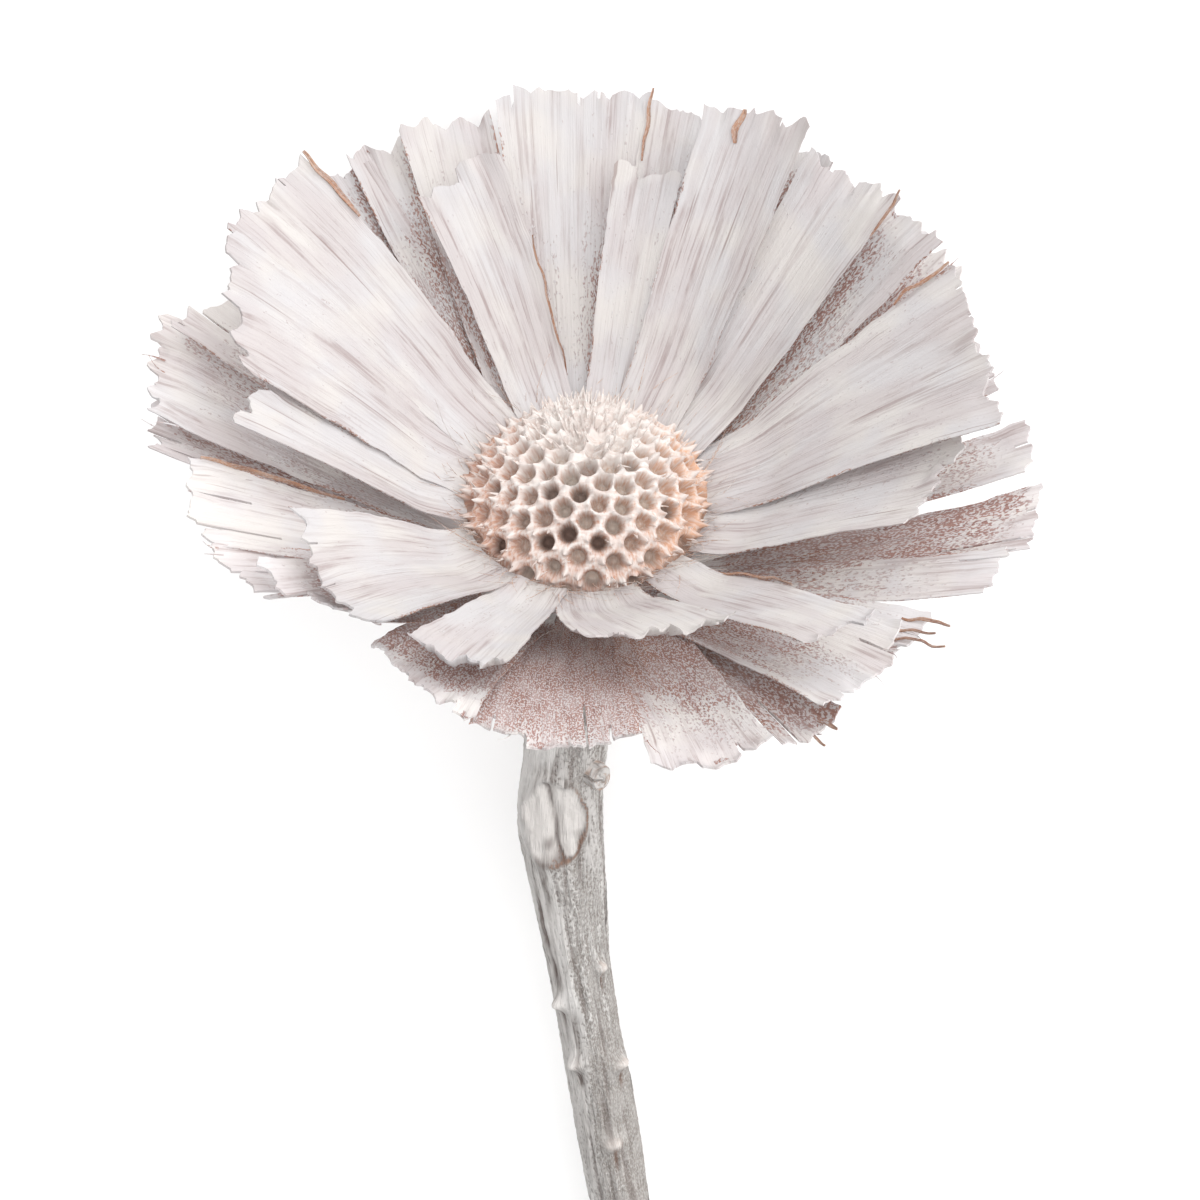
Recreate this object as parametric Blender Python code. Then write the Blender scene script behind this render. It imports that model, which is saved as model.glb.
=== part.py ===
"""A dried protea flower head on its cut stem, lying on a surface.

The head is modelled in its own frame, in millimetres: the flower's axis is Z, the dome's rim lies in the
plane z = 0, and +Y is the side that lies lowest. An empty named "flower" then lays the whole flower down: it
rests on the ends of two outer bracts and on the cut end of the stem, and its face looks up and towards -Y.
"""

import math
import random

import bmesh
import bpy
from mathutils import Euler, Vector
from mathutils.geometry import delaunay_2d_cdt

MM = 0.001
MERGE = 0.000001

# How the flower lies, in degrees and millimetres: turned on its side until three low points reach the surface
LIE_PITCH = -58.70
LIE_ROLL = 1.02
HEAD_PLACE = (0.79, -63.37, 30.14)

# The dome of pits and points, and the woody cone under it as radius and height
DOME_RADIUS = 14.0
DOME_HEIGHT = 8.0
DOME_ROUNDNESS = 2.2
DOME_SHOULDER = 0.75
DOME_SEED = 7
PIT_COUNT = 100
SPARE_PITS = 50
PIT_DEPTH = 1.5
PIT_DISH = 0.1
PIT_FLOOR_SHARE = 0.58
RIM_PIT_SHARE = 0.55
POINT_HEIGHT = 0.9
RIM_POINT_HEIGHT = 1.6
RIM_SHARPNESS = 4
POINT_SPREAD = (0.6, 1.3)
POINT_LEAN = 0.45
POINT_STOOP = 0.3
CONE_PROFILE = ((13.7, -0.5), (10.4, -3.0), (8.3, -8.0), (4.4, -24.0))

# Where each whorl of bracts leaves the head, as radius and height
INNER_ROOT = (12.4, -3.6)
SECOND_ROOT = (11.0, -4.6)
OUTER_ROOT = (10.2, -8.4)

# What every bract shares
BRACT_THICKNESS = 0.75
ROOT_SINK = 1.0
ROOT_WIDTH_SHARE = 0.42
ROOT_WIDTH_ADDED = 1.5
ROOT_WIDTH_LIMITS = (4.0, 8.0)
WIDENING = 0.9
CURL = 7.0
TROUGH = (0.05, 0.15)
TROUGH_START = 0.35
WAVE = (0.2, 0.4)
WAVE_ALONG = 5.0
WAVE_ACROSS = 2.0
TIP_REACH = (0.0, 0.36)
NOTCH_REACH = (-0.9, -0.36)
TOOTH_SEED = 1000
COLUMN_WIDTH = 2.7
LEAST_COLUMNS = 3
BRACT_ROWS = 3
INNER_SEED = 100
OUTER_SEED = 400

# One row for each bract: azimuth of its cut end, azimuth of its root, length, lift above the rim's plane,
# width of the cut end, and how much longer its anticlockwise side is
INNER_BRACTS = (
    (-16, -19, 34, 33, 13, 5),
    (5, 8, 40, 37, 25, -2),
    (43, 40, 40, 40, 13, -3),
    (61, 59, 41, 44, 13, -3),
    (78, 80, 32, 45, 8, 1),
    (117, 110, 33, 46, 15, -1),
    (145, 139, 42, 39, 14, 0),
    (164, 160, 38, 40, 16, -9),
    (180, -175, 32, 38, 8, 4),
    (-139, -142, 32, 34, 22, 5),
    (-112, -116, 33, 34, 11, -2),
    (-76, -82, 26, 39, 17, 5),
    (-51, -50, 38, 33, 9, 2),
)
SECOND_BRACTS = (
    (35, 32, 42, 34, 11, -1),
    (55, 52, 41, 36, 8, -1),
    (75, 74, 41, 38, 9, 0),
    (92, 94, 41, 38, 18, 0),
    (112, 117, 41, 36, 11, 2),
    (122, 126, 41, 34, 6, 2),
    (130, 131, 41, 33, 9, 4),
)
OUTER_BRACTS = (
    (33, 30, 44, 28, 10, 0),
    (16, 12, 41, 25, 12, 0),
    (0, -5, 43, 23, 8, 0),
    (-8, -20, 43, 18, 9, 1),
    (-20, -30, 41, 21, 8, 1),
    (-36, -39, 37, 23, 8, 0),
    (-48, -47, 40, 26, 16, -5),
    (-58, -55, 39, 21, 8, -1),
    (-69, -66, 41, 24, 9, 4),
    (-94, -98, 41, 30, 19, 3),
    (-115, -120, 38, 33, 16, 8),
    (-142, -138, 34, 33, 14, -9),
    (-154, -150, 37, 27, 9, -4),
    (-168, -162, 39, 27, 13, -1),
    (174, -178, 42, 20, 8, -1),
    (166, 170, 44, 23, 15, -4),
    (156, 160, 43, 27, 11, 4),
    (144, 146, 40, 28, 12, 0),
    (131, 132, 38, 29, 11, 0),
    (118, 119, 42, 31, 11, 0),
    (105, 105, 35, 32, 10, 0),
    (91, 91, 33, 32, 11, 0),
    (77, 77, 35, 32, 10, 0),
    (62, 61, 42, 31, 11, 0),
    (48, 47, 38, 29, 11, 0),
)

# The rings of bases that the bracts and scales grow from: the corners of their section in radius and height
INNER_COLLAR = ((10.9, -3.1), (13.2, -2.9), (12.8, -4.9), (11.0, -6.0), (9.7, -5.9))
OUTER_COLLAR = ((9.45, -6.7), (11.4, -7.2), (11.2, -9.4), (9.3, -10.3), (8.25, -10.2))
BASAL_COLLAR = ((8.15, -10.6), (9.4, -10.7), (6.5, -23.4), (5.1, -23.4))
COLLAR_SIDES = 24

# The basal scales, in rings: how many, root radius, root height, lift, length and width
SCALE_RINGS = (
    (13, 8.6, -14.0, 40, 7.0, 4.2),
    (11, 7.5, -18.0, 50, 7.0, 4.2),
    (9, 6.4, -22.0, 56, 6.4, 4.2),
)
SCALE_LINES = ((0.0, 0.9), (0.55, 1.0), (1.0, 0.25))
SCALE_TIP_THICKNESS = 0.8
SCALE_ROOT_THICKENING = 0.6
SCALE_TROUGH = 0.18
SCALE_OFFSET = 0.13

# The stem: it leaves the cone along the flower's axis, bends towards -Y, and sways from side to side
STEM_TOP = (0.0, 0.0, -24.35)
STEM_LENGTH = 150.0
STEM_BEND = 29.0
STEM_BEND_LENGTH = 30.0
STEM_SWAY = (-10.0, 9.0)
STEM_SWAY_LENGTH = 48.0
STEM_SIDES = 16
STEM_RING_STEP = 2.5
STEM_RADII = ((0, 5.0), (12, 4.8), (24, 4.7), (34, 4.5), (46, 3.7), (80, 3.5), (150, 3.4))

# Slow bumps of the bark: height, turns round the stem, and radians for each millimetre along it
BARK_BUMPS = ((0.12, 3.0, 0.05), (0.10, 2.0, 0.21))

# Swellings on the stem: distance along it, angle round it, height, length along it, and half angle
KNOT = (27, 165, 0.9, 6.0, 55)
PRUNING_SCAR = (33, 105, 0.7, 3.4, 24)
LEAF_SCARS = (
    (47, 45, 0.5, 1.2, 20),
    (51, 140, 0.5, 1.2, 20),
    (59, 125, 0.6, 1.3, 22),
    (60, 40, 0.6, 1.3, 24),
    (70, 80, 0.6, 1.4, 26),
    (92, 200, 0.6, 1.4, 26),
    (108, 20, 0.6, 1.4, 26),
    (127, 120, 0.6, 1.4, 26),
)
SWELLINGS = (KNOT, PRUNING_SCAR, *LEAF_SCARS)

# The stub of a cut side twig
STUB_ALONG = 20.0
STUB_ANGLE = 42.0
STUB_ENDS = ((1.0, 1.8), (6.2, 1.5))
STUB_SIDES = 10


def clear_scene():
    """Remove every object of the scene."""
    for item in list(bpy.data.objects):
        bpy.data.objects.remove(item, do_unlink=True)


def material(name, colour, roughness):
    """A plain Principled material."""
    mat = bpy.data.materials.new(name)
    mat.use_nodes = True
    shader = mat.node_tree.nodes["Principled BSDF"]
    shader.inputs["Base Color"].default_value = (*colour, 1.0)
    shader.inputs["Roughness"].default_value = roughness
    shader.inputs["Metallic"].default_value = 0.0
    return mat


def new_object(name, bm):
    """Turn a bmesh in millimetres into an object in metres, with its faces turned out."""
    bmesh.ops.recalc_face_normals(bm, faces=bm.faces)
    bmesh.ops.scale(bm, vec=(MM, MM, MM), verts=bm.verts)
    mesh = bpy.data.meshes.new(name)
    bm.to_mesh(mesh)
    bm.free()
    item = bpy.data.objects.new(name, mesh)
    bpy.context.scene.collection.objects.link(item)
    return item


def fuse(core, pieces, solver):
    """Join the pieces to the core with one union, and remove the pieces."""
    group = bpy.data.collections.new(core.name + "_pieces")
    bpy.context.scene.collection.children.link(group)
    for piece in pieces:
        bpy.context.scene.collection.objects.unlink(piece)
        group.objects.link(piece)
    joint = core.modifiers.new("join", "BOOLEAN")
    joint.operation = "UNION"
    joint.operand_type = "COLLECTION"
    joint.collection = group
    joint.solver = solver
    graph = bpy.context.evaluated_depsgraph_get()
    fused = bpy.data.meshes.new_from_object(core.evaluated_get(graph))
    core.modifiers.clear()
    core.data = fused
    for piece in list(group.objects):
        bpy.data.objects.remove(piece, do_unlink=True)
    bpy.data.collections.remove(group)
    keep_skin(core)


def keep_skin(item):
    """Merge what lies within a micrometre, split it into triangles, and keep only the largest closed skin."""
    bm = bmesh.new()
    bm.from_mesh(item.data)
    bmesh.ops.remove_doubles(bm, verts=bm.verts, dist=MERGE)
    bmesh.ops.dissolve_degenerate(bm, edges=bm.edges, dist=MERGE)
    bmesh.ops.triangulate(bm, faces=bm.faces)
    skins = joined_faces(bm)
    largest = max(skins, key=len)
    spare = [face for skin in skins if skin is not largest for face in skin]
    bmesh.ops.delete(bm, geom=spare, context="FACES")
    bmesh.ops.delete(bm, geom=[edge for edge in bm.edges if edge.is_wire], context="EDGES")
    bm.to_mesh(item.data)
    bm.free()


def joined_faces(bm):
    """The mesh's faces in groups that hang together: its outer skin, and any sealed hollow or loose scrap."""
    groups = []
    left = set(bm.faces)
    for first in bm.faces:
        if first not in left:
            continue
        left.remove(first)
        group = []
        reached = [first]
        while reached:
            face = reached.pop()
            group.append(face)
            around = {other for edge in face.edges for other in edge.link_faces if other in left}
            left -= around
            reached.extend(around)
        groups.append(group)
    return groups


def smoothstep(value):
    """A smooth step from 0 to 1 as the value goes from 0 to 1."""
    value = min(1.0, max(0.0, value))
    return value * value * (3.0 - 2.0 * value)


def turn_between(start, end, share):
    """The azimuth a share of the way from start to end, the short way round, in radians."""
    difference = (end - start + 180.0) % 360.0 - 180.0
    return math.radians(start + difference * share)


def ring_directions(azimuth):
    """The directions out from the flower's axis and sideways round it."""
    outward = Vector((math.cos(azimuth), math.sin(azimuth), 0.0))
    sideways = Vector((-math.sin(azimuth), math.cos(azimuth), 0.0))
    return outward, sideways


class Bract:
    """One bract: a thin wedge that rises from its root and widens to a cut end."""

    def __init__(self, row, root, seed):
        self.azimuth, self.root_azimuth, self.length, lift, self.end_width, self.slant = row
        draw = random.Random(seed)
        self.root_radius, self.root_height = root
        self.lift_start = math.radians(lift + CURL / 2)
        self.lift_end = math.radians(lift - CURL / 2)
        least, most = ROOT_WIDTH_LIMITS
        self.root_width = min(most, max(least, ROOT_WIDTH_SHARE * self.end_width + ROOT_WIDTH_ADDED))
        self.trough = draw.uniform(*TROUGH)
        self.wave = draw.uniform(*WAVE)
        self.wave_phase = draw.uniform(0.0, 2.0 * math.pi)

    def width(self, along):
        return self.root_width + (self.end_width - self.root_width) * max(along, 0.0) ** WIDENING

    def point(self, across, along, extra=0.0, raised=0.0):
        """A point of the bract: across from -1 to 1, along from 0 to 1, then extra past it and raised."""
        reach = (self.length + self.slant * across / 2) * along + extra
        turn = self.lift_end - self.lift_start
        lift = self.lift_start + turn * reach / self.length
        radius = self.root_radius + self.length / turn * (math.sin(lift) - math.sin(self.lift_start))
        height = self.root_height - self.length / turn * (math.cos(lift) - math.cos(self.lift_start))
        outward, sideways = ring_directions(turn_between(self.root_azimuth, self.azimuth, along))
        upward = Vector((0.0, 0.0, math.cos(lift))) - outward * math.sin(lift)
        width = self.width(along)
        rise = self.trough * width * across * across * smoothstep(along / TROUGH_START)
        rise += self.wave * along * math.sin(self.wave_phase + WAVE_ALONG * along + WAVE_ACROSS * across)
        centre = outward * radius + Vector((0.0, 0.0, height))
        return centre + sideways * (across * width / 2) + upward * (rise + raised)


def sheet_solid(name, columns, rows, place):
    """A closed sheet from place(column, row, side), with both faces split into triangles alike."""
    bm = bmesh.new()
    grid = {}
    for side in (0, 1):
        for column in range(columns + 1):
            for row in range(rows + 1):
                grid[side, column, row] = bm.verts.new(place(column, row, side))
    for side in (0, 1):
        for column in range(columns):
            for row in range(rows):
                a = grid[side, column, row]
                b = grid[side, column + 1, row]
                c = grid[side, column + 1, row + 1]
                d = grid[side, column, row + 1]
                bm.faces.new((a, b, c) if side else (a, c, b))
                bm.faces.new((a, c, d) if side else (a, d, c))
    edge = [(column, 0) for column in range(columns)]
    edge += [(columns, row) for row in range(rows)]
    edge += [(column, rows) for column in range(columns, 0, -1)]
    edge += [(0, row) for row in range(rows, 0, -1)]
    for here, there in zip(edge, edge[1:] + edge[:1]):
        bm.faces.new((grid[(0, *here)], grid[(0, *there)], grid[(1, *there)], grid[(1, *here)]))
    return new_object(name, bm)


def sawn_teeth(columns, seed):
    """How far each column of a cut end reaches past its length: every second one is a notch."""
    draw = random.Random(TOOTH_SEED + seed)
    teeth = []
    for column in range(columns + 1):
        limits = NOTCH_REACH if column % 2 else TIP_REACH
        teeth.append(draw.uniform(*limits))
    return teeth


def bract_solid(name, row, root, seed):
    """One bract as a closed sheet, with its root sunk in and its end cut in teeth."""
    bract = Bract(row, root, seed)
    columns = max(LEAST_COLUMNS, round(bract.end_width / COLUMN_WIDTH))
    teeth = sawn_teeth(columns, seed)
    start = -ROOT_SINK / bract.length

    def place(column, line, side):
        across = 2.0 * column / columns - 1.0
        along = start + (1.0 - start) * line / BRACT_ROWS
        extra = teeth[column] if line == BRACT_ROWS else 0.0
        return bract.point(across, along, extra, BRACT_THICKNESS * (side - 0.5))

    return sheet_solid(name, columns, BRACT_ROWS, place)


def ring_solid(name, section):
    """A ring with the given section of radius and height, turned about the flower's axis."""
    bm = bmesh.new()
    rings = []
    for side in range(COLLAR_SIDES):
        outward, _ = ring_directions(2.0 * math.pi * side / COLLAR_SIDES)
        corners = [outward * radius + Vector((0.0, 0.0, height)) for radius, height in section]
        rings.append([bm.verts.new(corner) for corner in corners])
    for here, there in zip(rings, rings[1:] + rings[:1]):
        for corner in range(len(section)):
            after = (corner + 1) % len(section)
            bm.faces.new((here[corner], there[corner], there[after], here[after]))
    return new_object(name, bm)


def bract_whorls(name, collar, whorls, seed, mat):
    """One node of bracts: their ring of bases, with every bract of the whorls fused to it."""
    core = ring_solid(name, collar)
    pieces = []
    for rows, root in whorls:
        for row in rows:
            seed += 1
            pieces.append(bract_solid(f"bract_{seed}", row, root, seed))
    fuse(core, pieces, "MANIFOLD")
    core.data.materials.append(mat)
    return core


def scale_solid(name, azimuth, radius, height, lift, length, width):
    """One short basal scale: a pointed oval, thick at its root."""
    lift = math.radians(lift)
    outward, sideways = ring_directions(azimuth)
    forward = outward * math.cos(lift) + Vector((0.0, 0.0, math.sin(lift)))
    upward = Vector((0.0, 0.0, math.cos(lift))) - outward * math.sin(lift)
    root = outward * radius + Vector((0.0, 0.0, height))

    def place(column, line, side):
        across = column - 1.0
        share, breadth = SCALE_LINES[line]
        half = breadth * width / 2
        thickness = SCALE_TIP_THICKNESS + SCALE_ROOT_THICKENING * (1.0 - share)
        rise = SCALE_TROUGH * half * abs(across) - thickness * (1 - side)
        return root + forward * (length * share) + sideways * (across * half) + upward * rise

    return sheet_solid(name, 2, len(SCALE_LINES) - 1, place)


def basal_scales(mat):
    """The short scales that close the underside of the head, in rings on a tapering sleeve."""
    core = ring_solid("basal_scales", BASAL_COLLAR)
    pieces = []
    for ring, (count, radius, height, lift, length, width) in enumerate(SCALE_RINGS):
        for number in range(count):
            azimuth = 2.0 * math.pi * (number + 0.5 * ring + SCALE_OFFSET) / count
            name = f"scale_{ring}_{number}"
            pieces.append(scale_solid(name, azimuth, radius, height, lift, length, width))
    fuse(core, pieces, "EXACT")
    core.data.materials.append(mat)
    return core


def pit_places():
    """The pits' places on the flattened dome, spaced by the golden angle, with a few more past the rim."""
    golden = math.pi * (3.0 - math.sqrt(5.0))
    places = []
    for number in range(PIT_COUNT + SPARE_PITS):
        outward, _ = ring_directions(number * golden)
        places.append(outward.xy * (DOME_RADIUS * math.sqrt((number + 0.5) / PIT_COUNT)))
    return places


def rim_share(place):
    """How far out a place on the flattened dome lies: 0 in the middle and 1 at the rim."""
    return min(1.0, place.length / DOME_RADIUS)


def dome_point(place, raised):
    """A point over the flattened dome, raised from it and leaning away from the middle."""
    share = rim_share(place)
    height = DOME_HEIGHT * (1.0 - share ** DOME_ROUNDNESS) ** DOME_SHOULDER
    spread = place + place.normalized() * (raised * share * POINT_LEAN)
    return Vector((spread.x, spread.y, height + raised * (1.0 - POINT_STOOP * share)))


def receptacle(mat):
    """The dome with its honeycomb of pits and points, over the woody cone."""
    bm = bmesh.new()
    honeycomb(bm)
    close_cone(bm)
    bmesh.ops.triangulate(bm, faces=bm.faces)
    item = new_object("receptacle", bm)
    item.data.materials.append(mat)
    return item


def honeycomb(bm):
    """The open skin of the dome: a pit at each place, walls between them, and a point where walls meet."""
    draw = random.Random(DOME_SEED)
    places = pit_places()
    corners = {}
    cells = {number: [] for number in range(PIT_COUNT)}
    for triangle in delaunay_2d_cdt(places, [], [], 0, MM)[2]:
        if min(triangle) >= PIT_COUNT:
            continue
        key = tuple(triangle)
        middle = sum((places[number] for number in triangle), Vector((0.0, 0.0))) / 3.0
        middle *= min(1.0, DOME_RADIUS / middle.length)
        height = POINT_HEIGHT + (RIM_POINT_HEIGHT - POINT_HEIGHT) * rim_share(middle) ** RIM_SHARPNESS
        corners[key] = (middle, bm.verts.new(dome_point(middle, height * draw.uniform(*POINT_SPREAD))))
        for number in triangle:
            if number < PIT_COUNT:
                cells[number].append(key)
    ridges = {}
    for number, around in cells.items():
        around.sort(key=lambda key: math.atan2(*(corners[key][0] - places[number]).yx))
        add_pit(bm, places[number], [corners[key] for key in around], ridges)


def add_pit(bm, middle, corners, ridges):
    """One pit: a floor inside the corners around it, and a wall up to each low ridge between two corners."""
    depth = PIT_DEPTH * (1.0 - (1.0 - RIM_PIT_SHARE) * rim_share(middle) ** RIM_SHARPNESS)
    bottom = bm.verts.new(dome_point(middle, -depth - PIT_DISH))
    floor = []
    for place, _ in corners:
        floor.append(bm.verts.new(dome_point(middle.lerp(place, PIT_FLOOR_SHARE), -depth)))
    for index, (place, here) in enumerate(corners):
        after = (index + 1) % len(corners)
        next_place, there = corners[after]
        key = frozenset((here, there))
        if key not in ridges:
            ridges[key] = bm.verts.new(dome_point((place + next_place) / 2.0, 0.0))
        ridge = ridges[key]
        bm.faces.new((here, ridge, floor[index]))
        bm.faces.new((ridge, floor[after], floor[index]))
        bm.faces.new((ridge, there, floor[after]))
        bm.faces.new((floor[index], floor[after], bottom))


def close_cone(bm):
    """Carry the dome's open edge down the cone's profile and close it at the bottom."""
    edge = [e for e in bm.edges if e.is_boundary]
    for radius, height in CONE_PROFILE:
        grown = bmesh.ops.extrude_edge_only(bm, edges=edge)["geom"]
        edge = [g for g in grown if isinstance(g, bmesh.types.BMEdge)]
        for vert in (g for g in grown if isinstance(g, bmesh.types.BMVert)):
            outward, _ = ring_directions(math.atan2(vert.co.y, vert.co.x))
            vert.co = outward * radius + Vector((0.0, 0.0, height))
    bmesh.ops.contextual_create(bm, geom=edge)


def stem_path():
    """Points a step apart down the stem: how far along each is, its place and the stem's direction there."""
    path = []
    place = Vector(STEM_TOP)
    sway_start, sway_end = STEM_SWAY
    for number in range(round(STEM_LENGTH / STEM_RING_STEP) + 1):
        along = number * STEM_RING_STEP
        bend = math.radians(STEM_BEND * smoothstep(along / STEM_BEND_LENGTH))
        sway = math.radians(sway_start + (sway_end - sway_start) * smoothstep(along / STEM_SWAY_LENGTH))
        straight = Vector((0.0, -math.sin(bend), -math.cos(bend)))
        direction = straight * math.cos(sway) + Vector((math.sin(sway), 0.0, 0.0))
        section = direction if number else Vector((0.0, 0.0, -1.0))
        path.append((along, place.copy(), section))
        place += direction * STEM_RING_STEP
    return path


def stem_radius(along, angle):
    """The stem's radius at a distance along it and an angle round it, with its bumps and swellings."""
    radius = STEM_RADII[-1][1]
    for (start, first), (end, second) in zip(STEM_RADII, STEM_RADII[1:]):
        if start <= along <= end:
            radius = first + (second - first) * (along - start) / (end - start)
            break
    for height, turns, pace in BARK_BUMPS:
        radius += height * math.sin(turns * angle + pace * along)
    for place, middle, height, reach, half_angle in SWELLINGS:
        off = (math.degrees(angle) - middle + 180.0) % 360.0 - 180.0
        radius += height * math.exp(-((along - place) / reach) ** 2 - (off / half_angle) ** 2)
    return radius


def stem_axes(direction):
    """Two directions across the stem: the first near +X, the second near -Y, the side that lies uppermost."""
    first = (Vector((1.0, 0.0, 0.0)) - direction * direction.x).normalized()
    return first, direction.cross(first)


def tube(name, rings):
    """A closed tube through rings of points."""
    bm = bmesh.new()
    rings = [[bm.verts.new(point) for point in ring] for ring in rings]
    for here, there in zip(rings, rings[1:]):
        for side in range(len(here)):
            after = (side + 1) % len(here)
            bm.faces.new((here[side], here[after], there[after], there[side]))
    bm.faces.new(rings[0])
    bm.faces.new(rings[-1])
    bmesh.ops.triangulate(bm, faces=bm.faces)
    return new_object(name, bm)


def stem(mat):
    """The woody stem, with the stub of its side twig fused to it."""
    rings = []
    for along, place, direction in stem_path():
        first, second = stem_axes(direction)
        ring = []
        for side in range(STEM_SIDES):
            angle = 2.0 * math.pi * side / STEM_SIDES
            spread = first * math.cos(angle) + second * math.sin(angle)
            ring.append(place + spread * stem_radius(along, angle))
        rings.append(ring)
    item = tube("stem", rings)
    fuse(item, [stub()], "EXACT")
    item.data.materials.append(mat)
    return item


def stub():
    """The stub of a side twig, cut off just clear of the stem."""
    _, place, direction = min(stem_path(), key=lambda step: abs(step[0] - STUB_ALONG))
    first, second = stem_axes(direction)
    angle = math.radians(STUB_ANGLE)
    outward = first * math.cos(angle) + second * math.sin(angle)
    sideways = direction.cross(outward)
    rings = []
    for reach, radius in STUB_ENDS:
        ring = []
        for side in range(STUB_SIDES):
            turn = 2.0 * math.pi * side / STUB_SIDES
            spread = direction * math.cos(turn) + sideways * math.sin(turn)
            ring.append(place + outward * reach + spread * radius)
        rings.append(ring)
    return tube("stub", rings)


def lay_down(pieces):
    """Hold every piece on one empty, and lay the flower on its side with it."""
    flower = bpy.data.objects.new("flower", None)
    bpy.context.scene.collection.objects.link(flower)
    flower.rotation_euler = Euler((math.radians(LIE_PITCH), math.radians(LIE_ROLL), math.pi))
    flower.location = Vector(HEAD_PLACE) * MM
    for piece in pieces:
        piece.parent = flower


def main():
    clear_scene()
    bark = material("bark", (0.42, 0.38, 0.35), 0.85)
    pitted = material("pitted_wood", (0.55, 0.45, 0.38), 0.8)
    white = material("white_bract", (0.80, 0.76, 0.74), 0.75)
    pink = material("pink_bract", (0.55, 0.45, 0.42), 0.8)
    brown = material("brown_scale", (0.38, 0.29, 0.24), 0.8)
    inner = ((INNER_BRACTS, INNER_ROOT), (SECOND_BRACTS, SECOND_ROOT))
    outer = ((OUTER_BRACTS, OUTER_ROOT),)
    lay_down([
        stem(bark),
        receptacle(pitted),
        bract_whorls("inner_bracts", INNER_COLLAR, inner, INNER_SEED, white),
        bract_whorls("outer_bracts", OUTER_COLLAR, outer, OUTER_SEED, pink),
        basal_scales(brown),
    ])


main()
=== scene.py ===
"""The looks of a dried, white-washed protea flower that lies on a pale floor.

Everything is worked out in the flower's own frame, in millimetres: its axis is Z, the dome's rim lies in
the plane z = 0, and +Y is the side that lies lowest. The same turn and place as in the part lay it down.
"""

import math
import random

import bpy
import numpy as np
from mathutils import Euler, Matrix, Vector
from mathutils.bvhtree import BVHTree
from mathutils.geometry import delaunay_2d_cdt


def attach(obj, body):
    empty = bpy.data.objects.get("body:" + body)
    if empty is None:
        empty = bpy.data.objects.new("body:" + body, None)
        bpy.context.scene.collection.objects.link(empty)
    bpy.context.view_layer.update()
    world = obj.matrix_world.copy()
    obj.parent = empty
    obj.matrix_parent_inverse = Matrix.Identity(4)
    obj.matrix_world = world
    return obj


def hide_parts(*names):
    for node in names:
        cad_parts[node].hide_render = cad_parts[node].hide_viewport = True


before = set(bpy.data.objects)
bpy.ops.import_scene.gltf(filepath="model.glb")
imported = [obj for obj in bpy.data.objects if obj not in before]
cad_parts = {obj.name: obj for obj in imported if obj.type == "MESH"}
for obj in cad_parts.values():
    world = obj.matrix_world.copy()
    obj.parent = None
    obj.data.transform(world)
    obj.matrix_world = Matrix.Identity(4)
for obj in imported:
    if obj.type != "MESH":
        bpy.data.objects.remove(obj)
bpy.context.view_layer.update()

MM = 0.001

# How the flower lies, in degrees and millimetres, as in the part
LIE_PITCH = -58.70
LIE_ROLL = 1.02
HEAD_PLACE = (0.79, -63.37, 30.14)

# The camera: the view's tilt from the rim's plane, its distance, and where the dome's middle shows
VIEW_TILT = math.radians(49.5)
VIEW_DISTANCE = 620.0
IMAGE_SIZE = 1200
PIXELS_PER_MM = 8.8
DOME_PIXEL = (586, 499)
SENSOR_WIDTH = 36.0

# The dome, as in the part
DOME_RADIUS = 14.0
DOME_HEIGHT = 8.0
DOME_ROUNDNESS = 2.2
DOME_SHOULDER = 0.75
PIT_COUNT = 100
SPARE_PITS = 50
CONE_PROFILE = ((13.7, -0.5), (10.4, -3.0), (8.3, -8.0), (4.4, -24.0))

# The bracts, as in the part
INNER_ROOT = (12.4, -3.6)
SECOND_ROOT = (11.0, -4.6)
OUTER_ROOT = (10.2, -8.4)
ROOT_SINK = 1.0
ROOT_WIDTH_SHARE = 0.42
ROOT_WIDTH_ADDED = 1.5
ROOT_WIDTH_LIMITS = (4.0, 8.0)
WIDENING = 0.9
CURL = 7.0
TROUGH = (0.05, 0.15)
TROUGH_START = 0.35
WAVE = (0.2, 0.4)
WAVE_ALONG = 5.0
WAVE_ACROSS = 2.0
INNER_SEED = 100
OUTER_SEED = 400

# One row for each bract, as in the part but for seven that differ by up to 4 millimetres and 5 degrees:
# azimuth of its cut end, azimuth of its root, length, lift above the rim's plane, width of the cut end,
# and how much longer its anticlockwise side is
INNER_BRACTS = (
    (-16, -19, 34, 33, 13, 5),
    (5, 8, 40, 37, 25, -2),
    (43, 40, 40, 40, 13, -3),
    (61, 59, 41, 44, 13, -3),
    (78, 80, 32, 45, 8, 1),
    (115, 109, 33, 46, 11, -2),
    (145, 139, 42, 39, 14, 0),
    (164, 160, 38, 40, 16, -9),
    (180, -175, 32, 38, 8, 4),
    (-139, -142, 30, 34, 21, 4),
    (-111, -112, 33, 34, 11, -2),
    (-76, -86, 26, 39, 17, 5),
    (-51, -50, 38, 33, 9, 2),
)
SECOND_BRACTS = (
    (35, 32, 42, 34, 11, -1),
    (55, 52, 41, 36, 8, -1),
    (75, 74, 41, 38, 9, 0),
    (92, 94, 42, 38, 18, 0),
    (112, 117, 41, 36, 11, 2),
    (122, 126, 41, 34, 9, 2),
    (130, 131, 41, 33, 9, 4),
)
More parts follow.
